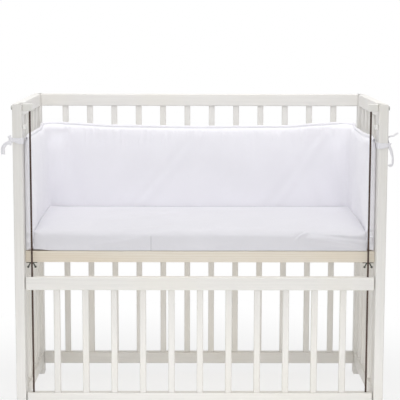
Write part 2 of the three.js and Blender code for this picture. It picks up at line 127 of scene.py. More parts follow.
class TimberSettings(bpy.types.PropertyGroup):
    edge_radius: length("Edge radius", "Rounding along posts, rails and bars", 0.003)
    eased: length("Eased ends", "Softening of the rails' cut ends", 0.0015)
    shoulder: length("Post shoulder", "Rounding on the outer top edge of each post", 0.006)
    rail_height: length("Rail height", "Height of the end frames' bottom rails", 0.035)
    end_bar_pitch: length("End bar pitch", "Distance from bar to bar in the end frames", 0.077)
    end_bars: IntProperty(name="End bars", description="Bars in each end frame", default=5, min=1)
    bar_width: length("Bar width", "Width of a bar, seen from outside the cot", 0.017)
    bar_thickness: length("Bar thickness", "Thickness of a bar", 0.015)
    rod_hole: length("Rod hole", "Holes in the drop side's rails for the guide rods", 0.009)
    paint: colour("Paint", "Colour of the painted wood", 233, 231, 227)
    pale_wood: colour("Pale wood", "Colour of the bare wood under the mattress", 224, 217, 205)


class HardwareSettings(bpy.types.PropertyGroup):
    rod: colour("Rods", "Colour of the guide rods", 70, 54, 47)
    plastic: colour("Plastic", "Colour of the rod holders", 226, 225, 220)
    stop: colour("Stops", "Colour of the drop side's stops", 243, 242, 239)
    steel: colour("Dark steel", "Colour of the brackets", 92, 94, 89)
    zinc: colour("Bright steel", "Colour of the bolts", 176, 176, 172)


class BeddingSettings(bpy.types.PropertyGroup):
    thickness: length("Thickness", "Mattress thickness at its edges", 0.061)
    crown: length("Crown", "How far the middle stands above the edges", 0.0024)
    tilt: length("Tilt", "How far the back stands above the front", 0.0046)
    top_radius: length("Top edge radius", "Rounding of the front top edge", 0.02)
    droop: length("Droop", "How far the top sinks towards the front edge", 0.0075)
    end_radius: length("End radius", "Rounding towards the two ends", 0.003)
    bottom_radius: length("Bottom edge radius", "Rounding of the bottom edges", 0.003)
    swell: length("Swell", "The most that the cover swells", 0.003)
    seam: number("Seam", "Where the front seam is", -0.131, "LENGTH")
    cover: colour("Cover", "Colour of the fitted cover", 226, 225, 230)


class NestSettings(bpy.types.PropertyGroup):
    thickness: length("Thickness", "Thickness of the padding", 0.02)
    seam_depth: length("Seam depth", "How far the edge seams lie from the outer face", 0.0053)
    outer_radius: length("Outer corner", "Radius of the back corners outside", 0.01)
    inner_radius: length("Inner corner", "Radius of the back corners inside", 0.02)
    opening: length("Corner opening", "How much larger the corners' radii are at the top", 0.03)
    lean: length("Lean", "How far the right end panel leans inwards at the top", 0.008)
    swell: length("Swell", "The most that the padding swells", 0.0016)
    binding_height: length("Binding height", "Height of the band on the top edge", 0.009)
    binding_width: length("Binding width", "Width of the band, over the pad's edge", 0.0096)
    cotton: colour("Cotton", "Colour of the nest's cotton", 246, 245, 250)
    ribbon: colour("Ribbon", "Colour of the ties", 240, 239, 243)


class StageSettings(bpy.types.PropertyGroup):
    lens: number("Lens", "Focal length", 119.8, "CAMERA")
    ambient: number("Ambient", "Strength of the light from all round", 0.555)
    top: number("Top light", "Power of the overhead lamp", 16.5, "POWER")
    front: number("Front light", "Power of the high front lamp", 23.9, "POWER")
    inner: number("Inner light", "Power of the lamp over the bed", 6.4, "POWER")
    low: number("Low light", "Power of the low front lamp", 1.0, "POWER")
    under: number("Under light", "Power of the lamp under the bed", 0.4, "POWER")


# ---- Shader maths ----
class Signal:
    """A number or colour that varies over a surface. Arithmetic on it adds Math nodes."""

    def __init__(self, tree, socket):
        self.tree = tree
        self.socket = socket

    def math(self, operation, *values):
        return self.tree.node("ShaderNodeMath", {"operation": operation}, dict(enumerate(values)))

    def __add__(self, other):
        return self.math("ADD", self, other)

    __radd__ = __add__

    def __sub__(self, other):
        return self.math("SUBTRACT", self, other)

    def __rsub__(self, other):
        return self.math("SUBTRACT", other, self)

    def __mul__(self, other):
        return self.math("MULTIPLY", self, other)

    __rmul__ = __mul__

    def sine(self):
        return self.math("SINE", self)

    def absolute(self):
        return self.math("ABSOLUTE", self)

    def step(self, low, high):
        """0 below low, 1 above high, and eased between them."""
        inputs = {"Value": self, "From Min": low, "From Max": high}
        return self.tree.node("ShaderNodeMapRange", {"interpolation_type": "SMOOTHSTEP"}, inputs)


class Tree:
    """A node tree being made. Everything in it comes from node()."""

    def __init__(self, tree):
        self.tree = tree

    def node(self, kind, settings=None, inputs=None, output=0):
        made = self.tree.nodes.new(kind)
        for name, value in (settings or {}).items():
            setattr(made, name, value)
        for name, value in (inputs or {}).items():
            if isinstance(value, Signal):
                self.tree.links.new(value.socket, made.inputs[name])
            else:
                made.inputs[name].default_value = value
        return Signal(self, made.outputs[output])

    def place(self, *scale):
        """Object coordinates, stretched by scale along each axis."""
        point = self.node("ShaderNodeTexCoord", output="Object")
        return self.node("ShaderNodeMapping", inputs={"Vector": point, "Scale": scale or (1, 1, 1)})

    def split(self, vector):
        """The three numbers of a vector."""
        made = self.node("ShaderNodeSeparateXYZ", inputs={"Vector": vector}).socket.node
        return [Signal(self, made.outputs[k]) for k in range(3)]

    def noise(self, vector, scale, detail=3, roughness=0.5):
        inputs = {"Vector": vector, "Scale": scale, "Detail": detail, "Roughness": roughness}
        return self.node("ShaderNodeTexNoise", inputs=inputs)

    def mix(self, share, first, second):
        """One colour turning into another; both may be plain colours."""
        sockets = {0: share, 6: opaque(first), 7: opaque(second)}
        return self.node("ShaderNodeMix", {"data_type": "RGBA"}, sockets, output=2)


class Finish(Tree):
    """A material being made. Its fixed values are set at once."""

    def __init__(self, name, **fixed):
        self.material = bpy.data.materials.new(name)
        self.material.use_nodes = True
        super().__init__(self.material.node_tree)
        self.shader = self.tree.nodes["Principled BSDF"]
        for socket, value in fixed.items():
            self.shader.inputs[socket.replace("_", " ")].default_value = value

    def surface(self, tone, roughness, height, strength, distance):
        """The material with its colour, its roughness and a bump of some strength and distance."""
        inputs = {"Height": height, "Strength": strength, "Distance": distance}
        bump = self.node("ShaderNodeBump", inputs=inputs)
        for socket, signal in {"Base Color": tone, "Roughness": roughness, "Normal": bump}.items():
            self.tree.links.new(signal.socket, self.shader.inputs[socket])
        return self.material


def opaque(value):
    return value if isinstance(value, Signal) else (*value[:3], 1)


def shade(value, *factors):
    """A colour made lighter or darker by one factor, or by one for each channel."""
    if len(factors) == 1:
        factors *= 3
    return tuple(min(1, channel * factor) for channel, factor in zip(value, factors))


# ---- Materials ----
def stretched(axis, along, across):
    """Texture scales for a grain that runs along an axis."""
    scale = [across] * 3
    scale[axis] = along
    return scale


def painted_wood(axis, base):
    """Satin paint, thin enough for the grain along an axis to show, with faint roller stipple."""
    finish = Finish(f"painted wood along {'XYZ'[axis]}", Roughness=0.42)
    grain = finish.noise(finish.place(*stretched(axis, 1.6, 46)), 4.2, detail=5, roughness=0.62)
    broad = finish.noise(finish.place(), 5, detail=2)
    stipple = finish.noise(finish.place(), 900, detail=2)
    tone = finish.mix(grain.step(0.36, 0.66), shade(base, 0.955), base)
    warm = shade(base, 0.975, 0.965, 0.93)
    tone = finish.mix(broad.step(0.42, 0.68) * 0.55, tone, warm)
    return finish.surface(tone, 0.36 + grain * 0.14, grain * 0.7 + stipple * 0.3, 0.22, 0.0004)


def bare_wood(base):
    """Pale, unpainted softwood: long growth bands, fine pores and a few darker streaks along X."""
    finish = Finish("bare pale wood", Roughness=0.62)
    drift = finish.noise(finish.place(1.1, 10, 10), 2.2, detail=2)
    settings = {"wave_type": "BANDS", "bands_direction": "Z", "wave_profile": "SAW"}
    grown_rings = {"Scale": 11, "Distortion": 5.5, "Detail": 2.5, "Detail Scale": 1.4}
    inputs = {"Vector": finish.place(0.35, 5, 5), **grown_rings}
    bands = finish.node("ShaderNodeTexWave", settings, inputs, output=1)
    pores = finish.noise(finish.place(9, 420, 420), 3.4, detail=4, roughness=0.7)
    early = finish.mix(drift.step(0.3, 0.7), shade(base, 1.03), shade(base, 1, 0.96, 0.9))
    late = shade(base, 0.86, 0.8, 0.7)
    grown = finish.mix(bands.step(0.35, 1) * 0.42, early, late)
    streak = pores.step(0.55, 0.75) * 0.3
    tone = finish.mix(streak, grown, shade(late, 0.86))
    return finish.surface(tone, 0.55 + pores * 0.16, bands * 0.4 + pores * 0.6, 0.3, 0.0004)


def brown_rod(base):
    """Dark brown plated steel with fine drawing lines along it and a duller film in places."""
    finish = Finish("dark brown rod", Metallic=0.55, Roughness=0.38)
    lines = finish.noise(finish.place(1400, 1400, 5), 1, detail=3)
    film = finish.noise(finish.place(), 22, detail=3)
    tone = finish.mix(lines.step(0.35, 0.7) * 0.6, base, shade(base, 1.5))
    return finish.surface(tone, 0.3 + film * 0.22, lines, 0.12, 0.0001)


def moulded_plastic(name, base):
    """Plain moulded plastic with a fine sparked skin."""
    finish = Finish(name, Roughness=0.38)
    skin = finish.noise(finish.place(), 1600, detail=2)
    flow = finish.noise(finish.place(), 30, detail=2)
    tone = finish.mix(flow.step(0.35, 0.7) * 0.5, base, shade(base, 0.965))
    return finish.surface(tone, 0.32 + skin * 0.14, skin, 0.14, 0.0002)


def dull_steel(name, base):
    """Dull steel with rubbed, brighter patches."""
    finish = Finish(name, Metallic=0.8, Roughness=0.45)
    rub = finish.noise(finish.place(), 150, detail=4, roughness=0.6)
    pits = finish.noise(finish.place(), 1300, detail=2)
    tone = finish.mix(rub.step(0.48, 0.72), base, shade(base, 1.7))
    return finish.surface(tone, 0.34 + rub * 0.24, pits, 0.2, 0.0001)


def woven(name, base, thread, slub, rumple, line=None):
    """White cotton. The plain weave follows the cloth's own UV map, which is in metres: thread is the
    pitch of its yarns, slub how uneven they are, and rumple how deep its fine creases are. line is a
    function that adds sewing: it takes the finish and the cloth's two coordinates and gives a height."""
    finish = Finish(name, Roughness=0.88, Sheen_Weight=0.22, Sheen_Roughness=0.45)
    cloth = finish.node("ShaderNodeTexCoord", output="UV")
    warp, weft = finish.split(cloth)[:2]
    uneven = finish.noise(finish.place(), 260, detail=2)
    turn = 2 * math.pi / thread
    over = (warp * turn + uneven * slub).sine() * (weft * turn + uneven * slub).sine()
    yarn = 0.5 + over * 0.5
    crease = finish.noise(finish.place(), 26, detail=4, roughness=0.55)
    mottle = finish.noise(finish.place(), 9, detail=3)
    tone = finish.mix(mottle.step(0.35, 0.68), shade(base, 0.972), base)
    tone = finish.mix(yarn.step(0.05, 0.5), shade(base, 0.93), tone)
    height = yarn * thread * 0.35 + crease * rumple
    if line:
        sewing_shade_and_dent = line(finish, warp, weft)
        # Painted shade: where the sewing dents the cloth, its colour is darkened as well as the bump sunk.
        tone = finish.mix(sewing_shade_and_dent, tone, shade(base, 0.72))
        height = height - sewing_shade_and_dent * 0.0012
    return finish.surface(tone, 0.82 + uneven * 0.14, height, 0.5, 1.0)


SEAM_HALF_WIDTH = 0.0016
SEAM_TOP = 0.4885  # how high the seam goes up the front


def front_seam(finish, warp, weft):
    """The narrow groove of a seam that runs down the front of the mattress's cover."""
    x, y, z = finish.split(finish.place())
    bedding = bpy.context.scene.cot_bedding
    groove = (x - bedding.seam).absolute().step(SEAM_HALF_WIDTH, 0.0)
    on_front = y.step(POSTS_FRONT + 0.05, POSTS_FRONT + 0.045)
    # This mask dents the cover and also darkens its colour: the darkening is painted shade in the seam's
    # groove.
    return groove * on_front * z.step(SEAM_TOP, SEAM_TOP - 0.0045) * 0.9


STITCH_PITCH = 0.0032
STITCH_INSET = 0.0018  # how far the stitches are from a strip's edges


def stitched(wrap):
    """Dashes of thread near both edges of a strip that is wrap wide."""

    def line(finish, warp, weft):
        dash = (warp * (2 * math.pi / STITCH_PITCH)).sine().step(-0.75, -0.2)
        from_edge = (weft - wrap / 2).absolute()
        # These dashes dent the binding and are darkened in colour as painted shade in the dents.
        return (from_edge - (wrap / 2 - STITCH_INSET)).absolute().step(0.0005, 0.0001) * dash * 0.55

    return line


# ---- Solids ----
def runs_along(edge, axis):
    step = edge.verts[1].co - edge.verts[0].co
    return abs(step[axis]) > 0.999 * step.length


def edges_of(verts):
    """The edges at some vertices, each once and always in the same order."""
    return list(dict.fromkeys(edge for vert in verts for edge in vert.link_edges))


def soften(bm, edges, radius, segments=3):
    bmesh.ops.bevel(
        bm, geom=list(edges), offset=radius, segments=segments, profile=0.5, affect="EDGES", material=-1
    )


def on_plane(verts, axis, place):
    return all(abs(vert.co[axis] - place) < TINY for vert in verts)


def add_box(bm, low, high):
    verts = bmesh.ops.create_cube(bm, size=1)["verts"]
    bmesh.ops.scale(bm, vec=high - low, verts=verts)
    bmesh.ops.translate(bm, vec=(low + high) / 2, verts=verts)
    return verts


def add_timber(bm, low, high, axis, radius, eased=0.0):
    """A length of wood between two corners, rounded along its axis; eased softens its two ends."""
    verts = add_box(bm, low, high)
    soften(bm, [edge for edge in edges_of(verts) if runs_along(edge, axis)], radius)
    if eased:
        ends = (low[axis], high[axis])
        cut = [edge for edge in bm.edges if any(on_plane(edge.verts, axis, end) for end in ends)]
        soften(bm, cut, eased, 2)


def add_pin(bm, centre, axis, diameter, depth, segments=28):
    """A round pin about a centre point."""
    radius = diameter / 2
    made = bmesh.ops.create_cone(
        bm, cap_ends=True, segments=segments, radius1=radius, radius2=radius, depth=depth
    )["verts"]
    turn = {X: Matrix.Rotation(math.pi / 2, 3, "Y"), Y: Matrix.Rotation(-math.pi / 2, 3, "X")}
    if axis in turn:
        bmesh.ops.rotate(bm, matrix=turn[axis], verts=made)
    bmesh.ops.translate(bm, vec=centre, verts=made)
    return made


def rim(verts, axis, place):
    """The edges that lie at one place along an axis."""
    return [edge for edge in edges_of(verts) if on_plane(edge.verts, axis, place)]


def scratch_object(bm):
    mesh = bpy.data.meshes.new("scratch")
    bm.to_mesh(mesh)
    bm.free()
    obj = bpy.data.objects.new("scratch", mesh)
    bpy.context.scene.collection.objects.link(obj)
    return obj


def evaluated(obj):
    """A bmesh of obj as its modifiers leave it."""
    bpy.context.view_layer.update()
    bm = bmesh.new()
    bm.from_object(obj, bpy.context.evaluated_depsgraph_get())
    return bm


def discard(obj):
    mesh = obj.data
    bpy.data.objects.remove(obj)
    bpy.data.meshes.remove(mesh)


def subtract(bm, tool):
    """The solid in bm with tool cut out of it. Both are used up."""
    solid, cutter = scratch_object(bm), scratch_object(tool)
    cut = solid.modifiers.new("cut", "BOOLEAN")
    cut.operation = "DIFFERENCE"
    cut.solver = "EXACT"
    cut.object = cutter
    left = evaluated(solid)
    discard(solid)
    discard(cutter)
    return left


def joined(parts):
    """Several bmeshes as one. The parts are used up."""
    whole = bmesh.new()
    for part in parts:
        mesh = bpy.data.meshes.new("scratch")
        part.to_mesh(mesh)
        part.free()
        whole.from_mesh(mesh)
        bpy.data.meshes.remove(mesh)
    return whole


def make_piece(name, bm, material, stands_for=(), body="cot"):
    """A finished object from a bmesh, riding on a body and standing for its CAD nodes."""
    mesh = bpy.data.meshes.new(name)
    bm.to_mesh(mesh)
    bm.free()
    mesh.materials.append(material)
    mesh.shade_smooth()
    obj = bpy.data.objects.new(name, mesh)
    bpy.context.scene.collection.objects.link(obj)
    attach(obj, body)
    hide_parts(*stands_for)
    return obj


def flatten_faces(obj):
    """Keeps large faces flat in their shading, so that only the rounded edges look round."""
    obj.modifiers.new("flat faces", "WEIGHTED_NORMAL").weight = 100
    return obj


def hard_piece(node, bm, material):
    body = frame["nodes"][node]["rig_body"]
    return flatten_faces(make_piece(f"fine_{node}", bm, material, [node], body))


# ---- Painted wood: posts, back frame, end frames, drop side ----
def paint_for(axis):
    """The paint for a grain along an axis, made once."""
    name = f"painted wood along {'XYZ'[axis]}"
    return bpy.data.materials.get(name) or painted_wood(axis, bpy.context.scene.cot_timber.paint)


def post(node, side):
    timber = bpy.context.scene.cot_timber
    low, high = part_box(node)
    bm = bmesh.new()
    verts = add_box(bm, low, high)
    outer = high.x if side > 0 else low.x
    top = [edge for edge in rim(verts, Z, high.z) if on_plane(edge.verts, X, outer)]
    soften(bm, top, timber.shoulder, 6)
    bm.normal_update()
    faces = [face for face in bm.faces if abs(face.normal.y) > 0.99]
    soften(bm, dict.fromkeys(edge for face in faces for edge in face.edges), timber.edge_radius)
    return hard_piece(node, bm, paint_for(Z))


def plain_timber(node, axis, eased):
    timber = bpy.context.scene.cot_timber
    bm = bmesh.new()
    add_timber(bm, *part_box(node), axis, timber.edge_radius, eased)
    return bm


def end_frame(node):
    """A bottom rail with its bars standing in it."""
    timber = bpy.context.scene.cot_timber
    low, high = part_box(node)
    bm = bmesh.new()
    rail_top = low.z + timber.rail_height
    add_timber(bm, low, Vector((high.x, high.y, rail_top)), Y, timber.edge_radius, timber.eased)
    middle = (low + high) / 2
    half = Vector((timber.bar_thickness, timber.bar_width, 0)) / 2
    for k in range(timber.end_bars):
        centre = middle.y + (k - (timber.end_bars - 1) / 2) * timber.end_bar_pitch
        bar = Vector((middle.x, centre, 0))
        foot, head = bar - half, bar + half
        foot.z, head.z = rail_top, high.z
        add_timber(bm, foot, head, Z, timber.edge_radius)
    return bm


def drop_rail(node):
    timber = bpy.context.scene.cot_timber
    bm = plain_timber(node, X, timber.eased)
    drill = bmesh.new()
    low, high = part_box(node)
    for name in SIDES:
        rod_low, rod_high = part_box(f"rod_{name}")
        centre = (rod_low + rod_high) / 2
        centre.z = (low.z + high.z) / 2
        add_pin(drill, centre, Z, timber.rod_hole, (high.z - low.z) * 1.2)
    return subtract(bm, drill)


class NEST_OT_timber(bpy.types.Operator):
    """Builds the painted posts, rails and bars, and the drop side"""

    bl_idname = "nest.timber"
    bl_label = "Painted Wood"

    def execute(self, context):
        eased = context.scene.cot_timber.eased
        for name, side in SIDES.items():
            post(f"post_front_{name}", side)
            post(f"post_back_{name}", side)
            rail = f"end_rail_{name}"
            hard_piece(rail, plain_timber(rail, Y, eased), paint_for(Y))
            comb = f"end_bars_{name}"
            hard_piece(comb, end_frame(comb), paint_for(Z))
        for rail in ("back_rail_top", "back_rail_bottom"):
            hard_piece(rail, plain_timber(rail, X, eased), paint_for(X))
        for rail in ("drop_rail_top", "drop_rail_bottom"):
            hard_piece(rail, drop_rail(rail), paint_for(X))
        for bar in (n for n in frame["nodes"] if n.startswith(("back_bar_", "drop_bar_"))):
            hard_piece(bar, plain_timber(bar, Z, 0), paint_for(Z))
        return {"FINISHED"}


class NEST_OT_base(bpy.types.Operator):
    """Builds the bare wooden base under the mattress"""

    bl_idname = "nest.base"
    bl_label = "Mattress Base"

    def execute(self, context):
        timber = context.scene.cot_timber
        wood = bare_wood(timber.pale_wood)
        for node in ("base_rail_front", "base_rail_back", "base_board"):
            bm = bmesh.new()
            add_timber(bm, *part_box(node), X, timber.edge_radius / 2, timber.eased / 2)
            hard_piece(node, bm, wood)
        return {"FINISHED"}


# ---- Rods and other hardware ----
ROD_END_RADIUS = 0.0005
ROD_CLEARANCE = 0.0003  # between a rod and the hole that it stands in
HOLDER_RADIUS = 0.002
STOP_RADIUS = 0.0015
BOLT_DOME = 0.0022
BOLT_SOCKET = 0.005  # width and depth
SCREW_DIAMETER, SCREW_DEPTH, SCREW_DOME = 0.006, 0.0034, 0.0012
SLOT_LENGTH, SLOT_WIDTH, SLOT_DEPTH = 0.008, 0.0008, 0.0007


def rod(node):
    low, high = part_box(node)
    bm = bmesh.new()
    verts = add_pin(bm, (low + high) / 2, Z, high.x - low.x, high.z - low.z, segments=32)
    soften(bm, rim(verts, Z, low.z) + rim(verts, Z, high.z), ROD_END_RADIUS, 2)
    return bm


def holder(node, rod_node):
    """A rounded block with a blind hole that the rod stands in."""
    low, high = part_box(node)
    rod_low, rod_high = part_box(rod_node)
    bm = bmesh.new()
    verts = add_box(bm, low, high)
    soften(bm, edges_of(verts), HOLDER_RADIUS, 4)
    start, end = rod_low.z - ROD_CLEARANCE, high.z + 0.001
    if low.z > rod_low.z:
        start, end = low.z - 0.001, rod_high.z + ROD_CLEARANCE
    centre = (rod_low + rod_high) / 2
    centre.z = (start + end) / 2
    drill = bmesh.new()
    add_pin(drill, centre, Z, rod_high.x - rod_low.x + 2 * ROD_CLEARANCE, end - start, segments=32)
    return subtract(bm, drill)


def bolt(node, side):
    """A low domed head with a hexagonal socket."""
    low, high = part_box(node)
    bm = bmesh.new()
    verts = add_pin(bm, (low + high) / 2, X, high.z - low.z, high.x - low.x, segments=36)
    face = high.x if side > 0 else low.x
    soften(bm, rim(verts, X, face), BOLT_DOME, 4)
    socket = bmesh.new()
    mouth = Vector((face, (low.y + high.y) / 2, (low.z + high.z) / 2))
    add_pin(socket, mouth, X, BOLT_SOCKET, BOLT_SOCKET, segments=6)
    return subtract(bm, socket)


def screw(foot, turn):
    """A round-headed screw on the front of a lug, its slot turned by an angle."""
    bm, slot = bmesh.new(), bmesh.new()
    head = add_pin(bm, foot, Y, SCREW_DIAMETER, SCREW_DEPTH)
    front = SCREW_DEPTH / 2
    soften(bm, rim(head, Y, foot.y - front), SCREW_DOME, 3)
    half = Vector((SLOT_LENGTH / 2, 0, SLOT_WIDTH / 2))
    cut = add_box(slot, -half - Vector((0, 0.0015, 0)), half)
    bmesh.ops.rotate(slot, matrix=Matrix.Rotation(turn, 3, "Y"), verts=cut)
    bmesh.ops.translate(slot, vec=foot - Vector((0, front - SLOT_DEPTH, 0)), verts=cut)
    return subtract(bm, slot)


def bracket(node):
    """A thin strap under the base with two slanted lugs and their slotted screws."""
    low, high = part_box(node)
    plate, lug, drop, spread, lean = 0.002, 0.0034, 0.0126, 0.0095, math.radians(28)
    front = low.y + 0.0013
    strap = bmesh.new()
    soften(strap, edges_of(add_box(strap, Vector((low.x, front, high.z - plate)), high)), 0.0005, 2)
    centre = (low.x + high.x) / 2
    parts = [strap]
    for side in (-1, 1):
        foot = Vector((centre + side * spread, front + plate / 2, high.z - drop))
        arm = bmesh.new()
        top = (drop - plate / 2) / math.cos(lean)
        verts = add_box(arm, Vector((-lug / 2, -plate / 2, 0)), Vector((lug / 2, plate / 2, top)))
        bmesh.ops.rotate(arm, matrix=Matrix.Rotation(-side * lean, 3, "Y"), verts=verts)
        bmesh.ops.translate(arm, vec=foot, verts=verts)
        parts += [arm, screw(foot - Vector((0, 0.0006, 0)), 0.5 + side * 0.7)]
    return joined(parts)


class NEST_OT_hardware(bpy.types.Operator):
    """Builds the guide rods, their holders, the stops, bolts and brackets"""

    bl_idname = "nest.hardware"
    bl_label = "Rods and Hardware"

    def execute(self, context):
        colours = context.scene.cot_hardware
        brown = brown_rod(colours.rod)
        grey_white = moulded_plastic("off-white plastic", colours.plastic)
        white = moulded_plastic("white plastic", colours.stop)
        steel = dull_steel("dull dark steel", colours.steel)
        zinc = dull_steel("dull bright steel", colours.zinc)
        for name, side in SIDES.items():
            rod_node = f"rod_{name}"
            hard_piece(rod_node, rod(rod_node), brown)
            for end in ("top", "bottom"):
                node = f"rod_holder_{end}_{name}"
                hard_piece(node, holder(node, rod_node), grey_white)
            node = f"stop_{name}"
            bm = bmesh.new()
            soften(bm, edges_of(add_box(bm, *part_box(node))), STOP_RADIUS)
            hard_piece(node, bm, white)
            hard_piece(f"bolt_{name}", bolt(f"bolt_{name}", side), zinc)
            hard_piece(f"bracket_{name}", bracket(f"bracket_{name}"), steel)
        return {"FINISHED"}


# ---- Cloth ----
def eased(low, high, value):
    """0 below low, 1 above high, and a smooth curve between them. Takes numbers and arrays."""
    t = np.clip((value - low) / (high - low), 0, 1)
    return t * t * (3 - 2 * t)


def crowded(share, pull=0.8):
    """Moves places from 0 to 1 towards both ends, where a shape needs more of them."""
    reach = math.pi / 2 * pull
    return 0.5 + 0.5 * math.sin((2 * share - 1) * reach) / math.sin(reach)


def wander(run, pitch, start=0.0):
    """An uneven ripple along a length, about once in every pitch, from -1 to 1."""
    turn = 2 * math.pi / pitch
    swing = np.sin(run * turn + 1.9 * np.sin(run * turn / 2.7 + start) + start * 3)
    return swing * (0.62 + 0.38 * np.sin(run * turn / 5.3 + start * 7))


Wave = namedtuple("Wave", "depth pitch start")


def ripple(run, wave):
    """An uneven ripple of some depth along a length."""
    return wave.depth * wander(run, wave.pitch, wave.start)


def read(data, field, width=1, kind=np.float32):
    """One field of every item in a mesh's data, as an array."""
    values = np.empty(len(data) * width, kind)
    data.foreach_get(field, values)
    return values.reshape(-1, width) if width > 1 else values


def points_of(mesh):
    return read(mesh.vertices, "co", 3, float)


def move_to(mesh, points):
    mesh.vertices.foreach_set("co", points.ravel())
    mesh.update()


def attribute(mesh, name):
    return read(mesh.attributes[name].data, "value")


def laid_grid(columns, rows, place, size):
    """A grid of quads with each corner put where place(u, v) says, u and v from 0 to 1. Its UV map is in
    metres, for a cloth of that size, and the corners keep u and v as the attributes run and rise."""
    bm = bmesh.new()
    bmesh.ops.create_grid(bm, x_segments=columns, y_segments=rows, size=0.5)
    cloth = bm.loops.layers.uv.new("cloth")
    run, rise = (bm.verts.layers.float.new(name) for name in ("run", "rise"))
    for face in bm.faces:
        for loop in face.loops:
            u, v = loop.vert.co.x + 0.5, loop.vert.co.y + 0.5
            loop[cloth].uv = (u * size[0], v * size[1])
    for vert in bm.verts:
        vert[run], vert[rise] = vert.co.x + 0.5, vert.co.y + 0.5
        vert.co = place(vert[run], vert[rise])
    return bm


def refine(obj, levels=1):
    """Applies a subdivision surface."""
    finer = obj.modifiers.new("finer", "SUBSURF")
    finer.levels = finer.render_levels = levels
    bm = evaluated(obj)
    obj.modifiers.remove(finer)
    bm.to_mesh(obj.data)
    bm.free()
    obj.data.shade_smooth()


def swell(obj, held, pressure, growth, most, frames=20):
    """Blows a closed cloth up by simulation and keeps the result. held are the points that stay, growth
    is how much larger the cloth is cut, and no point moves further than most."""
    rest = points_of(obj.data)
    group = obj.vertex_groups.new(name="held")
    group.add(held, 1, "REPLACE")
    modifier = obj.modifiers.new("swelling", "CLOTH")
    cloth = modifier.settings
    cloth.quality = 4
    cloth.mass = 0.15
    cloth.tension_stiffness = cloth.compression_stiffness = 12
    cloth.shear_stiffness = 6
    cloth.bending_stiffness = 0.4
    cloth.shrink_min = -growth
    cloth.use_pressure = True
    cloth.uniform_pressure_force = pressure
    cloth.vertex_group_mass = group.name
    cloth.effector_weights.gravity = 0
    modifier.collision_settings.use_collision = False
    modifier.point_cache.frame_end = frames
    for k in range(1, frames + 1):
        bpy.context.scene.frame_set(k)
    after = obj.evaluated_get(bpy.context.evaluated_depsgraph_get()).to_mesh()
    step = points_of(after) - rest
    obj.to_mesh_clear()
    obj.modifiers.remove(modifier)
    obj.vertex_groups.remove(group)
    bpy.context.scene.frame_set(1)
    far = np.linalg.norm(step, axis=1, keepdims=True) + 1e-9
    move_to(obj.data, rest + step / far * most * np.tanh(far / most))


def distance_to(line, x, z):
    """Signed distance from points to a bent line in the X-Z plane, and how far along it they are (0-1)."""
    best = np.full(x.shape, 1e9)
    sign, share = np.ones(x.shape), np.zeros(x.shape)
    pieces = len(line) - 1
    for k, ((ax, az), (bx, bz)) in enumerate(zip(line, line[1:])):
        dx, dz = bx - ax, bz - az
        t = np.clip(((x - ax) * dx + (z - az) * dz) / (dx * dx + dz * dz), 0, 1)
        gap = np.hypot(x - ax - t * dx, z - az - t * dz)
        nearer = gap < best
        best = np.where(nearer, gap, best)
        share = np.where(nearer, (k + t) / pieces, share)
        sign = np.where(nearer, np.sign((x - ax) * -dz + (z - az) * dx), sign)
    return best * sign, share


# A soft ridge along a line, steep on one side and "lean" times wider on the other. A negative height
# makes it a hollow.
Fold = namedtuple("Fold", "line width height lean", defaults=(2.2,))


def folded(folds, x, z):
    """The height of several folds together. Each dies out at its two ends."""
    total = 0
    for fold in folds:
        gap, share = distance_to(fold.line, x, z)
        reach = np.where(gap > 0, fold.width, fold.width * fold.lean)
        ridge = fold.height * np.exp(-((gap / reach) ** 2))
        total = total + ridge * eased(0, 0.15, share) * eased(1, 0.8, share)
    return total


# ---- Mattress ----
MATTRESS_CELLS = (128, 48, 12)
MATTRESS_CROWDING = (0.4, 0.8, 0.8)  # how much the cells gather towards the edges
BACK_TOP_RADIUS = 0.006
CORNER_EXTRA = 0.004  # how much rounder the top is at the right front corner
LEFT_EXTRA = 0.003  # and how much rounder the bottom is at the left
FRONT_BELLY = 0.0018  # how far the front face bellies out
LEFT_LIFT = 0.0032  # how far its bottom edge is lifted off the rail at the left
RIGHT_PULL = 0.0022  # how far the cover is pulled down at the right front
SEAM_DENT, SEAM_REACH = 0.0011, 0.006  # depth and half width of the dent along the front seam
END_SPREAD, CORNER_SPREAD = 0.0012, 0.0022  # how far the ends may bulge, and how much more in front
FRONT_EDGE_WAVE = Wave(0.0008, 0.23, 2.2)
TOP_WAVES = (Wave(0.0013, 0.31, 0.4), Wave(0.0008, 0.17, 1.3))
COVER_GATHERS = Wave(0.0006, 0.021, 0.9)
TOP_FOLDS = [  # two in front at the left, one far back and one near the front, in x and y
    Fold([(-0.22, -0.184), (-0.15, -0.17), (-0.09, -0.157), (-0.05, -0.158)], 0.008, 0.0026, 1.6),
    Fold([(-0.21, -0.2), (-0.14, -0.188), (-0.08, -0.178)], 0.008, -0.0015, 1.5),
    Fold([(0.02, 0.05), (0.12, 0.075), (0.24, 0.07)], 0.012, 0.0012, 1.8),
    Fold([(0.02, -0.16), (0.1, -0.172), (0.19, -0.168)], 0.009, 0.0016, 1.7),
]
EDGE_FOLDS = [  # a short pinch over the front edge and the hollow beside it, in x and "over_edge"
    Fold([(0.251, 0.474), (0.266, 0.489), (0.288, 0.506)], 0.0045, 0.0044, 1.3),
    Fold([(0.243, 0.476), (0.256, 0.491), (0.275, 0.507)], 0.005, -0.0026, 1.2),
]
FRONT_FOLDS = [  # two long ones that part towards the right corner, draws, and a hollow, in x and z
    Fold([(0.275, 0.487), (0.34, 0.4805), (0.4, 0.4745), (0.47, 0.469)], 0.003, 0.0042),
    Fold([(0.27, 0.4835), (0.33, 0.4745), (0.385, 0.466), (0.465, 0.451)], 0.0032, 0.005, 2.4),
    Fold([(-0.3, 0.46), (-0.21, 0.471), (-0.15, 0.484)], 0.006, 0.0032),
    Fold([(-0.1, 0.458), (0.0, 0.4555), (0.12, 0.461)], 0.005, 0.0018),
    Fold([(0.33, 0.4865), (0.4, 0.481), (0.47, 0.477)], 0.0045, -0.003, 1.0),
]


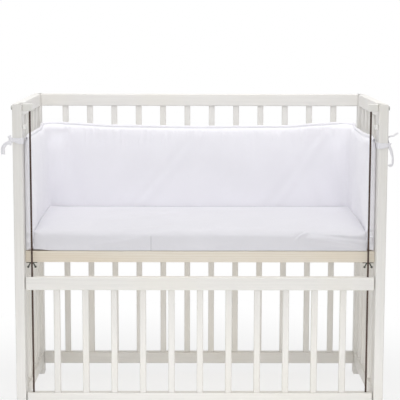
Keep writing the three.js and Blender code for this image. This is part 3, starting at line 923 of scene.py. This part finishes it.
def mattress_blank(low, high):
    """A box cut into quads, closer together towards its edges, rounded to the mattress's form."""
    bedding = bpy.context.scene.cot_bedding
    bm = bmesh.new()
    bmesh.ops.create_cube(bm, size=2)
    for axis, cells in enumerate(MATTRESS_CELLS):
        edges = [edge for edge in bm.edges if runs_along(edge, axis)]
        bmesh.ops.subdivide_edges(bm, edges=edges, cuts=cells - 1, use_grid_fill=True)
    top = low.z + bedding.thickness
    middle = Vector(((low.x + high.x) / 2, (low.y + high.y) / 2, (low.z + top) / 2))
    half = Vector((high.x - low.x, high.y - low.y, top - low.z)) / 2
    cloth = bm.loops.layers.uv.new("cloth")
    for vert in bm.verts:
        share = [2 * crowded((vert.co[k] + 1) / 2, MATTRESS_CROWDING[k]) - 1 for k in range(3)]
        front_top = bedding.top_radius + CORNER_EXTRA * eased(0.6, 1, share[X])
        upper = front_top + (BACK_TOP_RADIUS - front_top) * eased(-1, 1, share[Y])
        lower = bedding.bottom_radius + LEFT_EXTRA * eased(-0.84, -0.97, share[X])
        deep = lower + (upper - lower) * eased(-0.6, 0.6, share[Z])
        corner = bedding.end_radius + (deep - bedding.end_radius) * eased(0.3, 0.8, share[Z])
        high_end = deep + (bedding.end_radius - deep) * eased(0.94, 0.99, abs(share[X]))
        radius = (bedding.end_radius, corner, high_end)
        flat = Vector([share[k] * half[k] for k in range(3)])
        core = Vector([max(radius[k] - half[k], min(half[k] - radius[k], flat[k])) for k in range(3)])
        out = Vector([(flat[k] - core[k]) / radius[k] for k in range(3)])
        if out.length > TINY:
            out *= max(abs(value) for value in out) / out.length
        vert.co = middle + core + Vector([out[k] * radius[k] for k in range(3)])
    bm.normal_update()
    for face in bm.faces:
        upright = abs(face.normal.z) < 0.7
        sideways = abs(face.normal.x) > 0.7
        for loop in face.loops:
            co = loop.vert.co
            loop[cloth].uv = (co.y if sideways else co.x, co.z if upright else co.y)
    return bm


def lay_cover(points, low, high):
    """Gives the cover its crown, the drawn-in sides, the pulls and creases, and the front seam."""
    bedding = bpy.context.scene.cot_bedding
    x, y, z = points.T
    top = low.z + bedding.thickness
    share_x = (x - (low.x + high.x) / 2) / ((high.x - low.x) / 2)
    share_y = (y - (low.y + high.y) / 2) / ((high.y - low.y) / 2)
    upper = np.clip((z - low.z) / bedding.thickness, 0, 1)
    over = np.clip(1 - share_x**6, 0, 1)
    front = eased(low.y + 0.03, low.y + 0.004, y)
    lid = eased(top - 0.016, top - 0.003, z)
    crown = bedding.crown * np.clip(1 - share_y**2, 0, 1) * over
    z += (crown + bedding.tilt * eased(-1, 0.9, share_y)) * upper**2
    y -= FRONT_BELLY * np.sin(np.pi * upper) * over * front
    z += ripple(x, FRONT_EDGE_WAVE) * lid * front
    z -= bedding.droop * eased(low.y + 0.17, low.y, y) * upper**2
    left = eased(-0.86, -0.98, share_x)
    z += LEFT_LIFT * left * eased(low.y + 0.06, low.y, y) * (1 - upper)

    # The top: broad slack waves, and a slope where the cover is pulled at the right front.
    slack = ripple(x + 0.8 * y, TOP_WAVES[0]) + ripple(x - 1.4 * y, TOP_WAVES[1])
    z += slack * lid * over * np.clip(1 - share_y**4, 0, 1)
    pulled = eased(0.5, 0.95, share_x) * eased(low.y + 0.075, low.y + 0.005, y)
    z -= RIGHT_PULL * pulled * lid
    z += folded(TOP_FOLDS, x, y) * lid

    # The front: "over_edge" grows up the front face and on over the top.
    over_edge = z + 0.8 * (y - low.y)
    tuck = 0.7 * folded(EDGE_FOLDS, x, over_edge)
    y -= tuck
    z += tuck
    y -= folded(FRONT_FOLDS, x, z) * front
    seam = np.exp(-(((x - bedding.seam) / SEAM_REACH) ** 2)) * eased(top + 0.001, top - 0.02, z)
    y += SEAM_DENT * seam * front
    y += ripple(x, COVER_GATHERS) * eased(low.z + 0.016, low.z + 0.002, z) * front

    # The two ends and the back stand right against the nest.
    spread = END_SPREAD + CORNER_SPREAD * eased(low.y + 0.03, low.y + 0.008, y)
    x = np.clip(x * (1.01 + 0.005 * eased(low.y + 0.03, low.y, y)), low.x - spread, high.x + spread)
    y = np.where(y > high.y - 0.02, y + 0.0016 * eased(high.y - 0.02, high.y - 0.001, y), y)
    return np.stack([x, y, z], axis=1)


class NEST_OT_mattress(bpy.types.Operator):
    """Builds the mattress in its fitted cover"""

    bl_idname = "nest.mattress"
    bl_label = "Mattress"

    def execute(self, context):
        bedding = context.scene.cot_bedding
        low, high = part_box("mattress")
        cover = woven("fitted cover", bedding.cover, 0.0011, 1.6, 0.0006, front_seam)
        piece = make_piece("mattress_in_cover", mattress_blank(low, high), cover, ["mattress"])
        rest = points_of(piece.data)
        held = np.flatnonzero(rest[:, Z] < low.z + 0.004)
        swell(piece, held.tolist(), pressure=3, growth=0.006, most=bedding.swell)
        refine(piece)
        move_to(piece.data, lay_cover(points_of(piece.data), low, high))
        return {"FINISHED"}


# ---- The nest's pad and its binding ----
class NestRun:
    """The way the nest takes round three sides of the cot. Its corners open out towards the top, and
    its right end panel leans in a little there."""

    def __init__(self):
        nest = bpy.context.scene.cot_nest
        low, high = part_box("nest_pad")
        self.outer_x, self.back, self.front = high.x, high.y, low.y
        self.thickness = nest.thickness
        self.outer_radius, self.inner_radius = nest.outer_radius, nest.inner_radius
        self.opening, self.lean, self.top = nest.opening, nest.lean, high.z
        self.end = self.back - self.outer_radius - self.front
        self.corner = self.outer_radius * math.pi / 2
        self.middle = 2 * (self.outer_x - self.outer_radius)
        self.length = 2 * (self.end + self.corner) + self.middle

    def mirrored(self, distance):
        """The same place on the left half, and 1 or -1 for the half that it is on."""
        right = distance > self.length / 2
        return (self.length - distance, 1) if right else (distance, -1)

    def turn(self, share, radius, centre_x, centre_y):
        angle = math.pi - share * math.pi / 2
        return Vector((centre_x + radius * math.cos(angle), centre_y + radius * math.sin(angle)))

    def point(self, distance, depth, height):
        """A place at a height, by its distance along the outer face and its depth inwards from that
        face. The corners are tight beside the mattress and open out above it."""
        along, side = self.mirrored(distance)
        inner_x, inner_back = self.outer_x - self.thickness, self.back - self.thickness
        opening = float(eased(BED_TOP, self.top, height))
        r = self.outer_radius + opening * self.opening
        q = self.inner_radius + opening * self.opening
        if along < self.end:
            t = along / self.end
            outer = Vector((-self.outer_x, self.front + t * (self.back - r - self.front)))
            inner = Vector((-inner_x, self.front + t * (inner_back - q - self.front)))
        elif along < self.end + self.corner:
            t = (along - self.end) / self.corner
            outer = self.turn(t, r, -self.outer_x + r, self.back - r)
            inner = self.turn(t, q, -inner_x + q, inner_back - q)
        else:
            t = (along - self.end - self.corner) / (self.middle / 2)
            outer = Vector((-(self.outer_x - r) * (1 - t), self.back))
            inner = Vector((-(inner_x - q) * (1 - t), inner_back))
        place = outer.lerp(inner, depth / self.thickness)
        if side > 0:
            past_corner = along - self.end - self.corner
            place.x += self.lean * opening * float(eased(0, 0.1, along) * eased(0.16, 0, past_corner))
        return Vector((-side * place.x, place.y))

    def panel(self, distance):
        """The same place as TOP_EDGE counts it: 1 and 2 are the back corners."""
        along, side = self.mirrored(distance)
        if along < self.end:
            run = 0.99 * along / self.end
        elif along < self.end + self.corner:
            run = 0.99 + 0.02 * (along - self.end) / self.corner
        else:
            run = 1.01 + 0.49 * (along - self.end - self.corner) / (self.middle / 2)
        return run if side < 0 else 3 - run

    def height(self, distance):
        """How high the top edge stands there."""
        run = self.panel(distance)
        after = next((k for k, row in enumerate(TOP_EDGE) if row.run >= run and k), len(TOP_EDGE) - 1)
        first, second = TOP_EDGE[after - 1], TOP_EDGE[after]
        share = float(eased(first.run, second.run, run))
        return first.height + share * (second.height - first.height)


def quarter_round(share):
    """From 0 at an edge to 1 a full radius in, as a quarter circle."""
    inside = min(1, max(0, share))
    return math.sqrt(1 - (1 - inside) ** 2)


PAD_CELLS = {"along": 250, "round": 64}
PAD_FOOT = 0.006  # how far in from its bottom seam the pad reaches its full thickness
PAD_TOP = 0.014  # how far below its binding
PAD_FRONT = 0.005  # and how far in from its two front ends
PAD_SHOULDER = {"depth": 0.09, "share": 0.42}  # the slower part of the way to full thickness
FRONT_REACH = 0.0018  # how far the two front ends push outwards to their posts
FRONT_SPAN = 0.022  # over this length
BINDING_WALL = 0.0011  # thickness of the binding's cotton
BINDING_GATHER = 0.0006  # how much closer it lies to the pad than its width says


def pad_blank(run):
    """Two sheets sewn together at the bottom and at the front ends, with the filling between them."""
    nest = bpy.context.scene.cot_nest
    floor = BED_TOP + 0.0003
    neck = (nest.binding_width - 2 * BINDING_WALL) / nest.thickness  # share left inside the binding

    def place(u, v):
        distance = u * run.length
        outer_side = v <= 0.5
        rise = crowded(2 * v if outer_side else 2 - 2 * v)
        top = run.height(distance) - nest.binding_height / 2
        z = floor + rise * (top - floor)
        from_end = min(distance, run.length - distance)
        full = quarter_round((z - floor) / PAD_FOOT) * quarter_round(from_end / PAD_FRONT)
        under_binding = quarter_round((top - nest.binding_height / 2 - z) / PAD_TOP)
        upper_panel = float(eased(0, PAD_SHOULDER["depth"], top - z))
        slow = PAD_SHOULDER["share"]
        full *= neck + (1 - neck) * ((1 - slow) * under_binding + slow * upper_panel)
        at_front = float(eased(FRONT_SPAN, 0, from_end) * eased(0, 0.02, top - z))
        seam = nest.seam_depth * (1 - 0.7 * at_front)
        depth = seam * (1 - full) if outer_side else seam + (nest.thickness - seam) * full
        depth -= FRONT_REACH * at_front
        return Vector((*run.point(distance, depth, z), z))

    size = (run.length, 2 * (run.height(0) - floor))
    bm = laid_grid(PAD_CELLS["along"], PAD_CELLS["round"], place, size)
    bmesh.ops.remove_doubles(bm, verts=bm.verts, dist=TINY)
    bmesh.ops.recalc_face_normals(bm, faces=bm.faces)
    return bm


PUCKERS = (Wave(0.0013, 0.0165, 0.3), Wave(0.00052, 0.031, 1.9))  # under the binding
END_PUCKERS = Wave(0.0006, 0.022, 1.1)  # along the two front ends
FOOT_PUCKERS = Wave(0.0005, 0.024, 2.2)  # along the bottom seam
PAD_SLACK = (Wave(0.0010, 0.145, 2.1), Wave(0.0006, 0.083, 0.7), Wave(0.0003, 0.19, 1.7))
PANEL_GATHERS = Wave(0.0016, 0.052, 0.9)  # on the two end panels
PANEL_STREAKS = Wave(0.0005, 0.0145, 2.7)


def lay_pad(piece, run):
    """Draws the swollen pad in under its binding and at its seams, with slack waves on its faces."""
    nest = bpy.context.scene.cot_nest
    mesh = piece.data
    points, out = points_of(mesh), read(mesh.vertices, "normal", 3)
    distance = attribute(mesh, "run") * run.length
    z = points[:, Z]
    edge = np.array([run.height(d) for d in distance]) - nest.binding_height
    below = np.clip(edge - z, 0, None)
    above_floor = z - BED_TOP
    from_end = np.minimum(distance, run.length - distance)
    open_face = eased(0.004, 0.03, below) * eased(0.004, 0.05, above_floor) * eased(0.002, 0.03, from_end)
    fall = 0.016 + 0.012 * (1 + wander(distance, 0.09, 1.2))  # the puckers run down unevenly
    puckers = (ripple(distance, PUCKERS[0]) + ripple(distance, PUCKERS[1])) * np.exp(-below / fall)
    puckers *= eased(0, 0.006, below)
    end_puckers = ripple(z, END_PUCKERS) * np.exp(-from_end / 0.012) * eased(0.001, 0.004, from_end)
    foot_puckers = ripple(distance, FOOT_PUCKERS) * np.exp(-above_floor / 0.012)
    broad = ripple(distance + 0.35 * z, PAD_SLACK[0]) + ripple(distance - 0.9 * z, PAD_SLACK[1])
    broad += ripple(z + 0.5 * distance, PAD_SLACK[2])
    on_end = eased(run.end + 0.01, run.end - 0.06, from_end)
    broad += ripple(distance + 0.02 * np.sin(z * 11), PANEL_GATHERS) * on_end
    broad += ripple(distance, PANEL_STREAKS) * on_end
    points += out * (broad * open_face + puckers + end_puckers + foot_puckers)[:, None]
    move_to(mesh, points)


END_GAP, BACK_GAP = 0.0012, 0.0018  # from the mattress to the pad, at its ends and its back
PAD_PLAY = 0.0008  # how much those gaps may vary
OUTER_PLAY = 0.001  # how far the pad may bulge out between the bars


def keep_clear(mesh, run):
    """Holds the pad off the bars outside it, and against the mattress inside it."""
    low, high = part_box("mattress")
    points = points_of(mesh)
    x, y, z = points.T
    inner = attribute(mesh, "rise") > 0.5
    beside = inner & (z > low.z + 0.012) & (z < high.z - 0.004)
    end_wall, back_wall = high.x + END_GAP, high.y + BACK_GAP
    at_end = beside & (y < high.y - 0.01)
    at_back = beside & (np.abs(x) < high.x - 0.01)
    x = np.where(at_end, np.sign(x) * np.clip(np.abs(x), end_wall, end_wall + PAD_PLAY), x)
    y = np.where(at_back, np.clip(y, back_wall, back_wall + PAD_PLAY), y)
    outer_x = run.outer_x + OUTER_PLAY
    x = np.clip(x, -outer_x, outer_x)
    y = np.minimum(y, run.back + OUTER_PLAY)
    move_to(mesh, np.stack([x, y, z], axis=1))


LIP_WAVE = Wave(0.0003, 0.021, 2.6)  # along the binding's top
BINDING_CELLS = (520, 16)


def binding_strip(run):
    """A strip folded over the pad's top edge, its lips drawn in by the stitches."""
    nest = bpy.context.scene.cot_nest
    half = nest.binding_width / 2 - BINDING_GATHER
    leg = nest.binding_height - half - 0.0005
    wrap = 2 * leg + math.pi * half

    def place(u, v):
        distance = u * run.length
        travelled = v * wrap
        if travelled < leg:
            across, up = -half, travelled
        elif travelled > leg + math.pi * half:
            across, up = half, wrap - travelled
        else:
            angle = math.pi - (travelled - leg) / half
            across, up = half * math.cos(angle), leg + half * math.sin(angle)
        pucker = float(wander(distance, 0.013, 0.8 if across < 0 else 1.9))
        pinch = math.exp(-((up - 0.0018) / 0.0012) ** 2)
        across *= 1 + 0.05 * pucker - 0.1 * pinch
        up += float(ripple(distance, LIP_WAVE))
        from_end = min(distance, run.length - distance)
        across *= 0.55 + 0.45 * quarter_round(from_end / 0.004)
        bottom = run.height(distance) - nest.binding_height + 0.0004
        return Vector((*run.point(distance, nest.seam_depth + across, bottom), bottom + up))

    bm = laid_grid(*BINDING_CELLS, place, (run.length, wrap))
    return bm, wrap


class NEST_OT_pad(bpy.types.Operator):
    """Builds the nest's padded panels and the binding on their top edge"""

    bl_idname = "nest.pad"
    bl_label = "Padded Nest"

    def execute(self, context):
        nest = context.scene.cot_nest
        run = NestRun()
        cotton = woven("nest cotton", nest.cotton, 0.0009, 1.2, 0.0007)
        pad = make_piece("padded_nest", pad_blank(run), cotton, ["nest_pad"])
        rise = attribute(pad.data, "rise")
        along = attribute(pad.data, "run")
        row = 1.5 / PAD_CELLS["round"]
        column = 1.5 / PAD_CELLS["along"]
        seams = (rise < row) | (rise > 1 - row) | (np.abs(rise - 0.5) < 2 * row)
        held = np.flatnonzero(seams | (along < column) | (along > 1 - column))
        swell(pad, held.tolist(), pressure=4, growth=0.012, most=nest.swell)
        refine(pad)
        lay_pad(pad, run)
        keep_clear(pad.data, run)

        strip, wrap = binding_strip(run)
        edging = woven("binding cotton", nest.cotton, 0.0009, 1.2, 0.0004, stitched(wrap))
        binding = make_piece("nest_top_binding", strip, edging, ["nest_binding"])
        wall = binding.modifiers.new("cloth thickness", "SOLIDIFY")
        wall.thickness = BINDING_WALL
        wall.offset = 1
        return {"FINISHED"}


# ---- Ties ----
# Each free end is the middle line of a ribbon. "out" counts outwards from the middle of the cot, "back"
# from the posts' front faces and "up" from the floor. "turn" is how far the ribbon is turned about its
# own line and "roll" how tightly its two edges curl towards each other, both in degrees: a turn of 0
# shows the ribbon's edge from the front and one of 90 its face.
TiePoint = namedtuple("TiePoint", "out back up turn roll")
Knot = namedtuple("Knot", "out back up tall wide deep")
TIES = {
    "left": {
        "band": {"bottom": 0.7335, "top": 0.7495, "slant": 0.0035},
        "knot": Knot(0.4932, 0.0030, 0.7452, 0.0078, 0.0068, 0.0068),
        "ends": [
            [
                TiePoint(0.4938, 0.0016, 0.7440, 96, 140),
                TiePoint(0.5002, 0.0004, 0.7390, 86, 110),
                TiePoint(0.5086, 0.0010, 0.7335, 72, 98),
                TiePoint(0.5148, 0.0022, 0.7235, 80, 92),
                TiePoint(0.5156, 0.0030, 0.7080, 98, 84),
            ],
            [
                TiePoint(0.4930, 0.0020, 0.7470, 100, 145),
                TiePoint(0.4960, 0.0002, 0.7515, 86, 110),
                TiePoint(0.4992, 0.0006, 0.7562, 72, 84),
            ],
            [
                TiePoint(0.4934, 0.0022, 0.7430, 84, 145),
                TiePoint(0.4962, 0.0008, 0.7382, 96, 115),
                TiePoint(0.4986, 0.0018, 0.7338, 112, 92),
            ],
        ],
    },
    "right": {
        "band": {"bottom": 0.724, "top": 0.7395, "slant": -0.0008},
        "knot": Knot(0.4934, 0.0065, 0.7335, 0.0054, 0.0046, 0.0078),
        "ends": [
            [
                TiePoint(0.4924, 0.0090, 0.7360, 8, 90),
                TiePoint(0.4913, 0.0140, 0.7430, 1, 12),
                TiePoint(0.4915, 0.0170, 0.7508, 1, 12),
                TiePoint(0.4950, 0.0178, 0.7546, 3, 26),
                TiePoint(0.5056, 0.0175, 0.7576, 4, 32),
                TiePoint(0.5170, 0.0180, 0.7644, 8, 34),
            ],
            [
                TiePoint(0.4934, 0.0060, 0.7312, 50, 140),
                TiePoint(0.4984, 0.0060, 0.7210, 40, 92),
                TiePoint(0.5026, 0.0065, 0.7060, 24, 64),
                TiePoint(0.5044, 0.0070, 0.6915, 20, 56),
                TiePoint(0.5026, 0.0070, 0.6812, 28, 60),
                TiePoint(0.4980, 0.0070, 0.6782, 34, 70),
                TiePoint(0.4941, 0.0070, 0.6816, 26, 76),
            ],
            [
                TiePoint(0.4930, 0.0045, 0.7345, 80, 145),
                TiePoint(0.4944, 0.0012, 0.7372, 72, 125),
                TiePoint(0.4952, 0.0004, 0.7396, 62, 120),
            ],
        ],
    },
}
RIBBON_WIDTH = 0.0145
RIBBON_THICKNESS = 0.0009
RIBBON_CELL = 0.0011  # length of a free end's cells
BAND_CELLS, KNOT_CELLS = (130, 12), (44, 18)
KNOT_RUN = 0.03  # length of ribbon in a knot's outer turn
BAND_RADIUS = 0.0036  # how tightly the band turns round a post's corners
GATHERED = 0.011  # how far from its knot the band is gathered


def through(values, share):
    """A smooth value at a share of the way through a list (Catmull-Rom)."""
    spans = len(values) - 1
    k = min(int(share * spans), spans - 1)
    t = share * spans - k
    a, b, c, d = (values[min(max(k + j, 0), spans)] for j in (-1, 0, 1, 2))
    bend, twist = 2 * a - 5 * b + 4 * c - d, 3 * b - 3 * c + d - a
    return 0.5 * (2 * b + (c - a) * t + bend * t * t + twist * t**3)


def free_ribbon(rows, side, seed):
    """A ribbon along a route, its edges curled towards each other, and its end cut across."""
    places = [Vector((side * row.out, POSTS_FRONT + row.back, row.up)) for row in rows]
    reach = sum((b - a).length for a, b in zip(places, places[1:]))

    def place(u, v):
        ahead = through(places, min(1, u + 0.02)) - through(places, max(0, u - 0.02))
        forward = ahead.normalized()
        depth = Vector((0, 1, 0))
        upright = forward.cross(depth).normalized()
        angle = math.radians(through([row.turn for row in rows], u))
        across = depth * math.cos(angle) + upright * math.sin(angle)
        normal = forward.cross(across).normalized()
        roll = math.radians(through([row.roll for row in rows], u))
        offset = 2 * v - 1
        radius = RIBBON_WIDTH / 2 / roll
        curl = normal * radius * (math.cos(offset * roll) - (1 + math.cos(roll)) / 2)
        ruffle = math.sin(2 * math.pi * (reach * 75 * u + seed + 0.3 * v)) * offset**2
        fray = math.sin(9 * v + seed) * (u > 0.999)
        edge = across * radius * math.sin(offset * roll)
        return through(places, u) + edge + curl + normal * 0.0006 * ruffle + forward * 0.0007 * fray

    return laid_grid(max(10, int(reach / RIBBON_CELL)), 12, place, (reach, RIBBON_WIDTH))


def band(side, rows, knot):
    """The ribbon right round a post, gathered towards the knot."""
    name = "left" if side < 0 else "right"
    low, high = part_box(f"post_front_{name}")
    centre = (low + high) / 2
    gap = RIBBON_THICKNESS
    half_x, half_y = (high.x - low.x) / 2 + gap, (high.y - low.y) / 2 + gap
    radius = BAND_RADIUS
    straight = (2 * (half_x - radius), 2 * (half_y - radius))
    arc = radius * math.pi / 2
    perimeter = 2 * sum(straight) + 4 * arc
    middle = (rows["bottom"] + rows["top"]) / 2
    height = rows["top"] - rows["bottom"]

    def at(travelled):
        """A place on the rounded outline, from the middle of the front face towards the outer side. It
        is a complex number, so that a left turn is a product with 1j."""
        place, heading = complex(0, -half_y), 1
        for span in (straight[0] / 2, straight[1], straight[0], straight[1], straight[0] / 2):
            if travelled <= span:
                break
            travelled -= span
            pivot = place + heading * (span + 1j * radius)
            if travelled <= arc:
                return pivot - 1j * heading * cmath.rect(radius, travelled / radius)
            travelled -= arc
            place, heading = pivot + heading * radius, heading * 1j
        return place + heading * travelled

    knot_at = straight[0] / 2 + arc * 0.5

    def place(u, v):
        travelled = (u * perimeter) % perimeter
        spot = at(travelled)
        from_knot = abs((travelled - knot_at + perimeter / 2) % perimeter - perimeter / 2)
        gathered = math.exp(-((from_knot / GATHERED) ** 2))
        offset = (v - 0.5) * height * (1 - 0.42 * gathered)
        wave = 0.00045 * math.sin(2 * math.pi * (2.3 * v + 0.35)) * (0.35 + gathered)
        wave += 0.00025 * math.sin(travelled / 0.0062 + 5 * v)
        out = Vector((spot.real / half_x, spot.imag / half_y)).normalized() * max(0, wave + 0.0003)
        drop = rows["slant"] * math.cos(2 * math.pi * travelled / perimeter)
        z = middle + offset + drop * 0.4 + gathered * (knot.up - middle)
        return Vector((centre.x + side * (spot.real + out.x), centre.y + spot.imag + out.y, z))

    bm = laid_grid(*BAND_CELLS, place, (perimeter, height))
    bmesh.ops.remove_doubles(bm, verts=bm.verts, dist=TINY)
    return bm


def knot_wrap(side, knot):
    """The turn of ribbon that closes the knot: a full, creased ring with its two mouths closed."""
    centre = Vector((side * knot.out, POSTS_FRONT + knot.back, knot.up))

    def place(u, v):
        angle = 2 * math.pi * u
        across = 2 * v - 1
        belly = math.sqrt(max(0.0, 1 - 0.86 * across**2))
        crease = 1 + 0.085 * math.sin(8.2 * v + 1.1 * math.sin(angle + 0.6))
        reach = belly * (crease + 0.05 * math.sin(3 * angle + 4 * v))
        x = side * across * knot.wide * (0.9 + 0.1 * math.sin(2 * angle + 0.7))
        y = -knot.deep * 0.82 * reach * math.cos(angle)
        z = knot.tall * 0.9 * reach * math.sin(angle) + 0.3 * across * knot.tall
        return centre + Vector((x, y, z))

    bm = laid_grid(*KNOT_CELLS, place, (KNOT_RUN, RIBBON_WIDTH))
    bmesh.ops.remove_doubles(bm, verts=bm.verts, dist=TINY)
    bmesh.ops.holes_fill(bm, edges=bm.edges, sides=0)
    return bm


class NEST_OT_ties(bpy.types.Operator):
    """Builds the ribbon ties round the front posts"""

    bl_idname = "nest.ties"
    bl_label = "Ribbon Ties"

    def execute(self, context):
        cloth = woven("soft ribbon", context.scene.cot_nest.ribbon, 0.0007, 0.8, 0.0003)
        for name, side in SIDES.items():
            rows = TIES[name]
            knot = make_piece(f"knot_{name}", knot_wrap(side, rows["knot"]), cloth)
            strips = [band(side, rows["band"], rows["knot"])]
            strips += [free_ribbon(end, side, k * 0.37) for k, end in enumerate(rows["ends"])]
            tie = make_piece(f"ribbon_{name}", joined(strips), cloth, [f"tie_{name}"])
            wall = tie.modifiers.new("cloth thickness", "SOLIDIFY")
            wall.thickness = RIBBON_THICKNESS
            wall.offset = 0
        return {"FINISHED"}


# ---- Stage ----
CAMERA_PLACE = (-0.0216, -3.6944, 1.0667)
CAMERA_DOWN, CAMERA_RIGHT, CAMERA_ROLL = (math.radians(a) for a in (7.874, 0.343, 0.132))
Lamp = namedtuple("Lamp", "place target size")
LAMPS = {
    "top": Lamp((0, -0.55, 3.2), (0, 0, 0.5), (3, 2)),
    "front": Lamp((0, -3.2, 3.2), (0, 0, 0.5), (3, 2)),
    "inner": Lamp((0, -0.2, 1.85), (0, 0.02, 0.5), (1.3, 0.7)),
    "low": Lamp((0, -0.75, 0.05), (0, -0.24, 0.13), (1.2, 0.1)),
    "under": Lamp((0, -0.14, 0.03), (0, 0.2, 0.24), (0.85, 0.1)),
}


def seen_directly(tree):
    """1 for what the camera sees, also by reflection or through glass, and 0 for light on surfaces."""
    rays = [
        tree.node("ShaderNodeLightPath", output=f"Is {kind} Ray")
        for kind in ("Camera", "Glossy", "Transmission")
    ]
    return rays[0].math("MAXIMUM", rays[0], rays[1].math("MAXIMUM", rays[1], rays[2]))


def add_world(strength):
    world = bpy.data.worlds.new("white studio")
    bpy.context.scene.world = world
    world.use_nodes = True
    seen = seen_directly(Tree(world.node_tree))
    background = world.node_tree.nodes["Background"]
    background.inputs["Color"].default_value = (1, 1, 1, 1)
    level = strength + seen * (1 - strength)
    world.node_tree.links.new(level.socket, background.inputs["Strength"])


def add_floor():
    """A pale floor that keeps the shadow near the cot and fades to plain white away from it."""
    bm = bmesh.new()
    bmesh.ops.create_grid(bm, x_segments=1, y_segments=1, size=30)
    floor = scratch_object(bm)
    floor.name = floor.data.name = "floor"
    finish = Finish("pale floor", Base_Color=(0.97, 0.97, 0.97, 1), Roughness=0.9)
    away = finish.node("ShaderNodeVectorMath", {"operation": "LENGTH"}, {0: finish.place()}, output=1)
    glow = finish.node("ShaderNodeEmission", inputs={"Color": (1, 1, 1, 1), "Strength": 1.0})
    share = seen_directly(finish) * (0.7 + 0.3 * away.step(0.55, 1.2))
    plain = Signal(finish, finish.shader.outputs[0])
    mixed = finish.node("ShaderNodeMixShader", inputs={0: share, 1: plain, 2: glow})
    finish.tree.links.new(mixed.socket, finish.tree.nodes["Material Output"].inputs["Surface"])
    floor.data.materials.append(finish.material)


def add_lamp(name, row, power):
    lamp = bpy.data.objects.new(name, bpy.data.lights.new(name, "AREA"))
    lamp.data.shape = "RECTANGLE"
    lamp.data.size, lamp.data.size_y = row.size
    lamp.data.energy = power
    lamp.visible_camera = False
    lamp.location = row.place
    lamp.rotation_euler = (Vector(row.target) - Vector(row.place)).to_track_quat("-Z", "Y").to_euler()
    bpy.context.scene.collection.objects.link(lamp)


class NEST_OT_stage(bpy.types.Operator):
    """Sets up the camera, the lamps, the white world and the floor"""

    bl_idname = "nest.stage"
    bl_label = "Camera and Light"

    def execute(self, context):
        stage = context.scene.cot_stage
        camera = bpy.data.objects.new("camera", bpy.data.cameras.new("camera"))
        context.scene.collection.objects.link(camera)
        camera.data.lens = stage.lens
        camera.data.clip_end = 100
        aim = Matrix.Rotation(-CAMERA_RIGHT, 4, "Z") @ Matrix.Rotation(math.pi / 2 - CAMERA_DOWN, 4, "X")
        camera.matrix_world = (
            Matrix.Translation(CAMERA_PLACE) @ aim @ Matrix.Rotation(CAMERA_ROLL, 4, "Z")
        )
        context.scene.camera = camera
        context.scene.view_settings.view_transform = "Standard"
        add_world(stage.ambient)
        add_floor()
        for name, lamp in LAMPS.items():
            add_lamp(f"{name} light", lamp, getattr(stage, name))
        return {"FINISHED"}


# ---- Panel and registration ----
GROUPS = {
    "cot_timber": TimberSettings,
    "cot_hardware": HardwareSettings,
    "cot_bedding": BeddingSettings,
    "cot_nest": NestSettings,
    "cot_stage": StageSettings,
}
OPERATORS = (
    NEST_OT_stage,
    NEST_OT_timber,
    NEST_OT_base,
    NEST_OT_hardware,
    NEST_OT_mattress,
    NEST_OT_pad,
    NEST_OT_ties,
)


class NEST_PT_panel(bpy.types.Panel):
    """Lists the cot's pieces and their settings"""

    bl_label = "Baby Nest"
    bl_idname = "NEST_PT_panel"
    bl_space_type = "VIEW_3D"
    bl_region_type = "UI"
    bl_category = "Baby Nest"

    def draw(self, context):
        for operator in OPERATORS:
            self.layout.operator(operator.bl_idname)
        for name, group in GROUPS.items():
            box = self.layout.box()
            for setting in group.__annotations__:
                box.prop(getattr(context.scene, name), setting)


def register():
    for group in (*GROUPS.values(), *OPERATORS, NEST_PT_panel):
        bpy.utils.register_class(group)
    for name, group in GROUPS.items():
        setattr(bpy.types.Scene, name, PointerProperty(type=group))


def unregister():
    for name in GROUPS:
        delattr(bpy.types.Scene, name)
    for group in reversed((*GROUPS.values(), *OPERATORS, NEST_PT_panel)):
        bpy.utils.unregister_class(group)


def main():
    register()
    for operator in OPERATORS:
        group, name = operator.bl_idname.split(".")
        getattr(getattr(bpy.ops, group), name)()


if __name__ == "__main__":
    main()
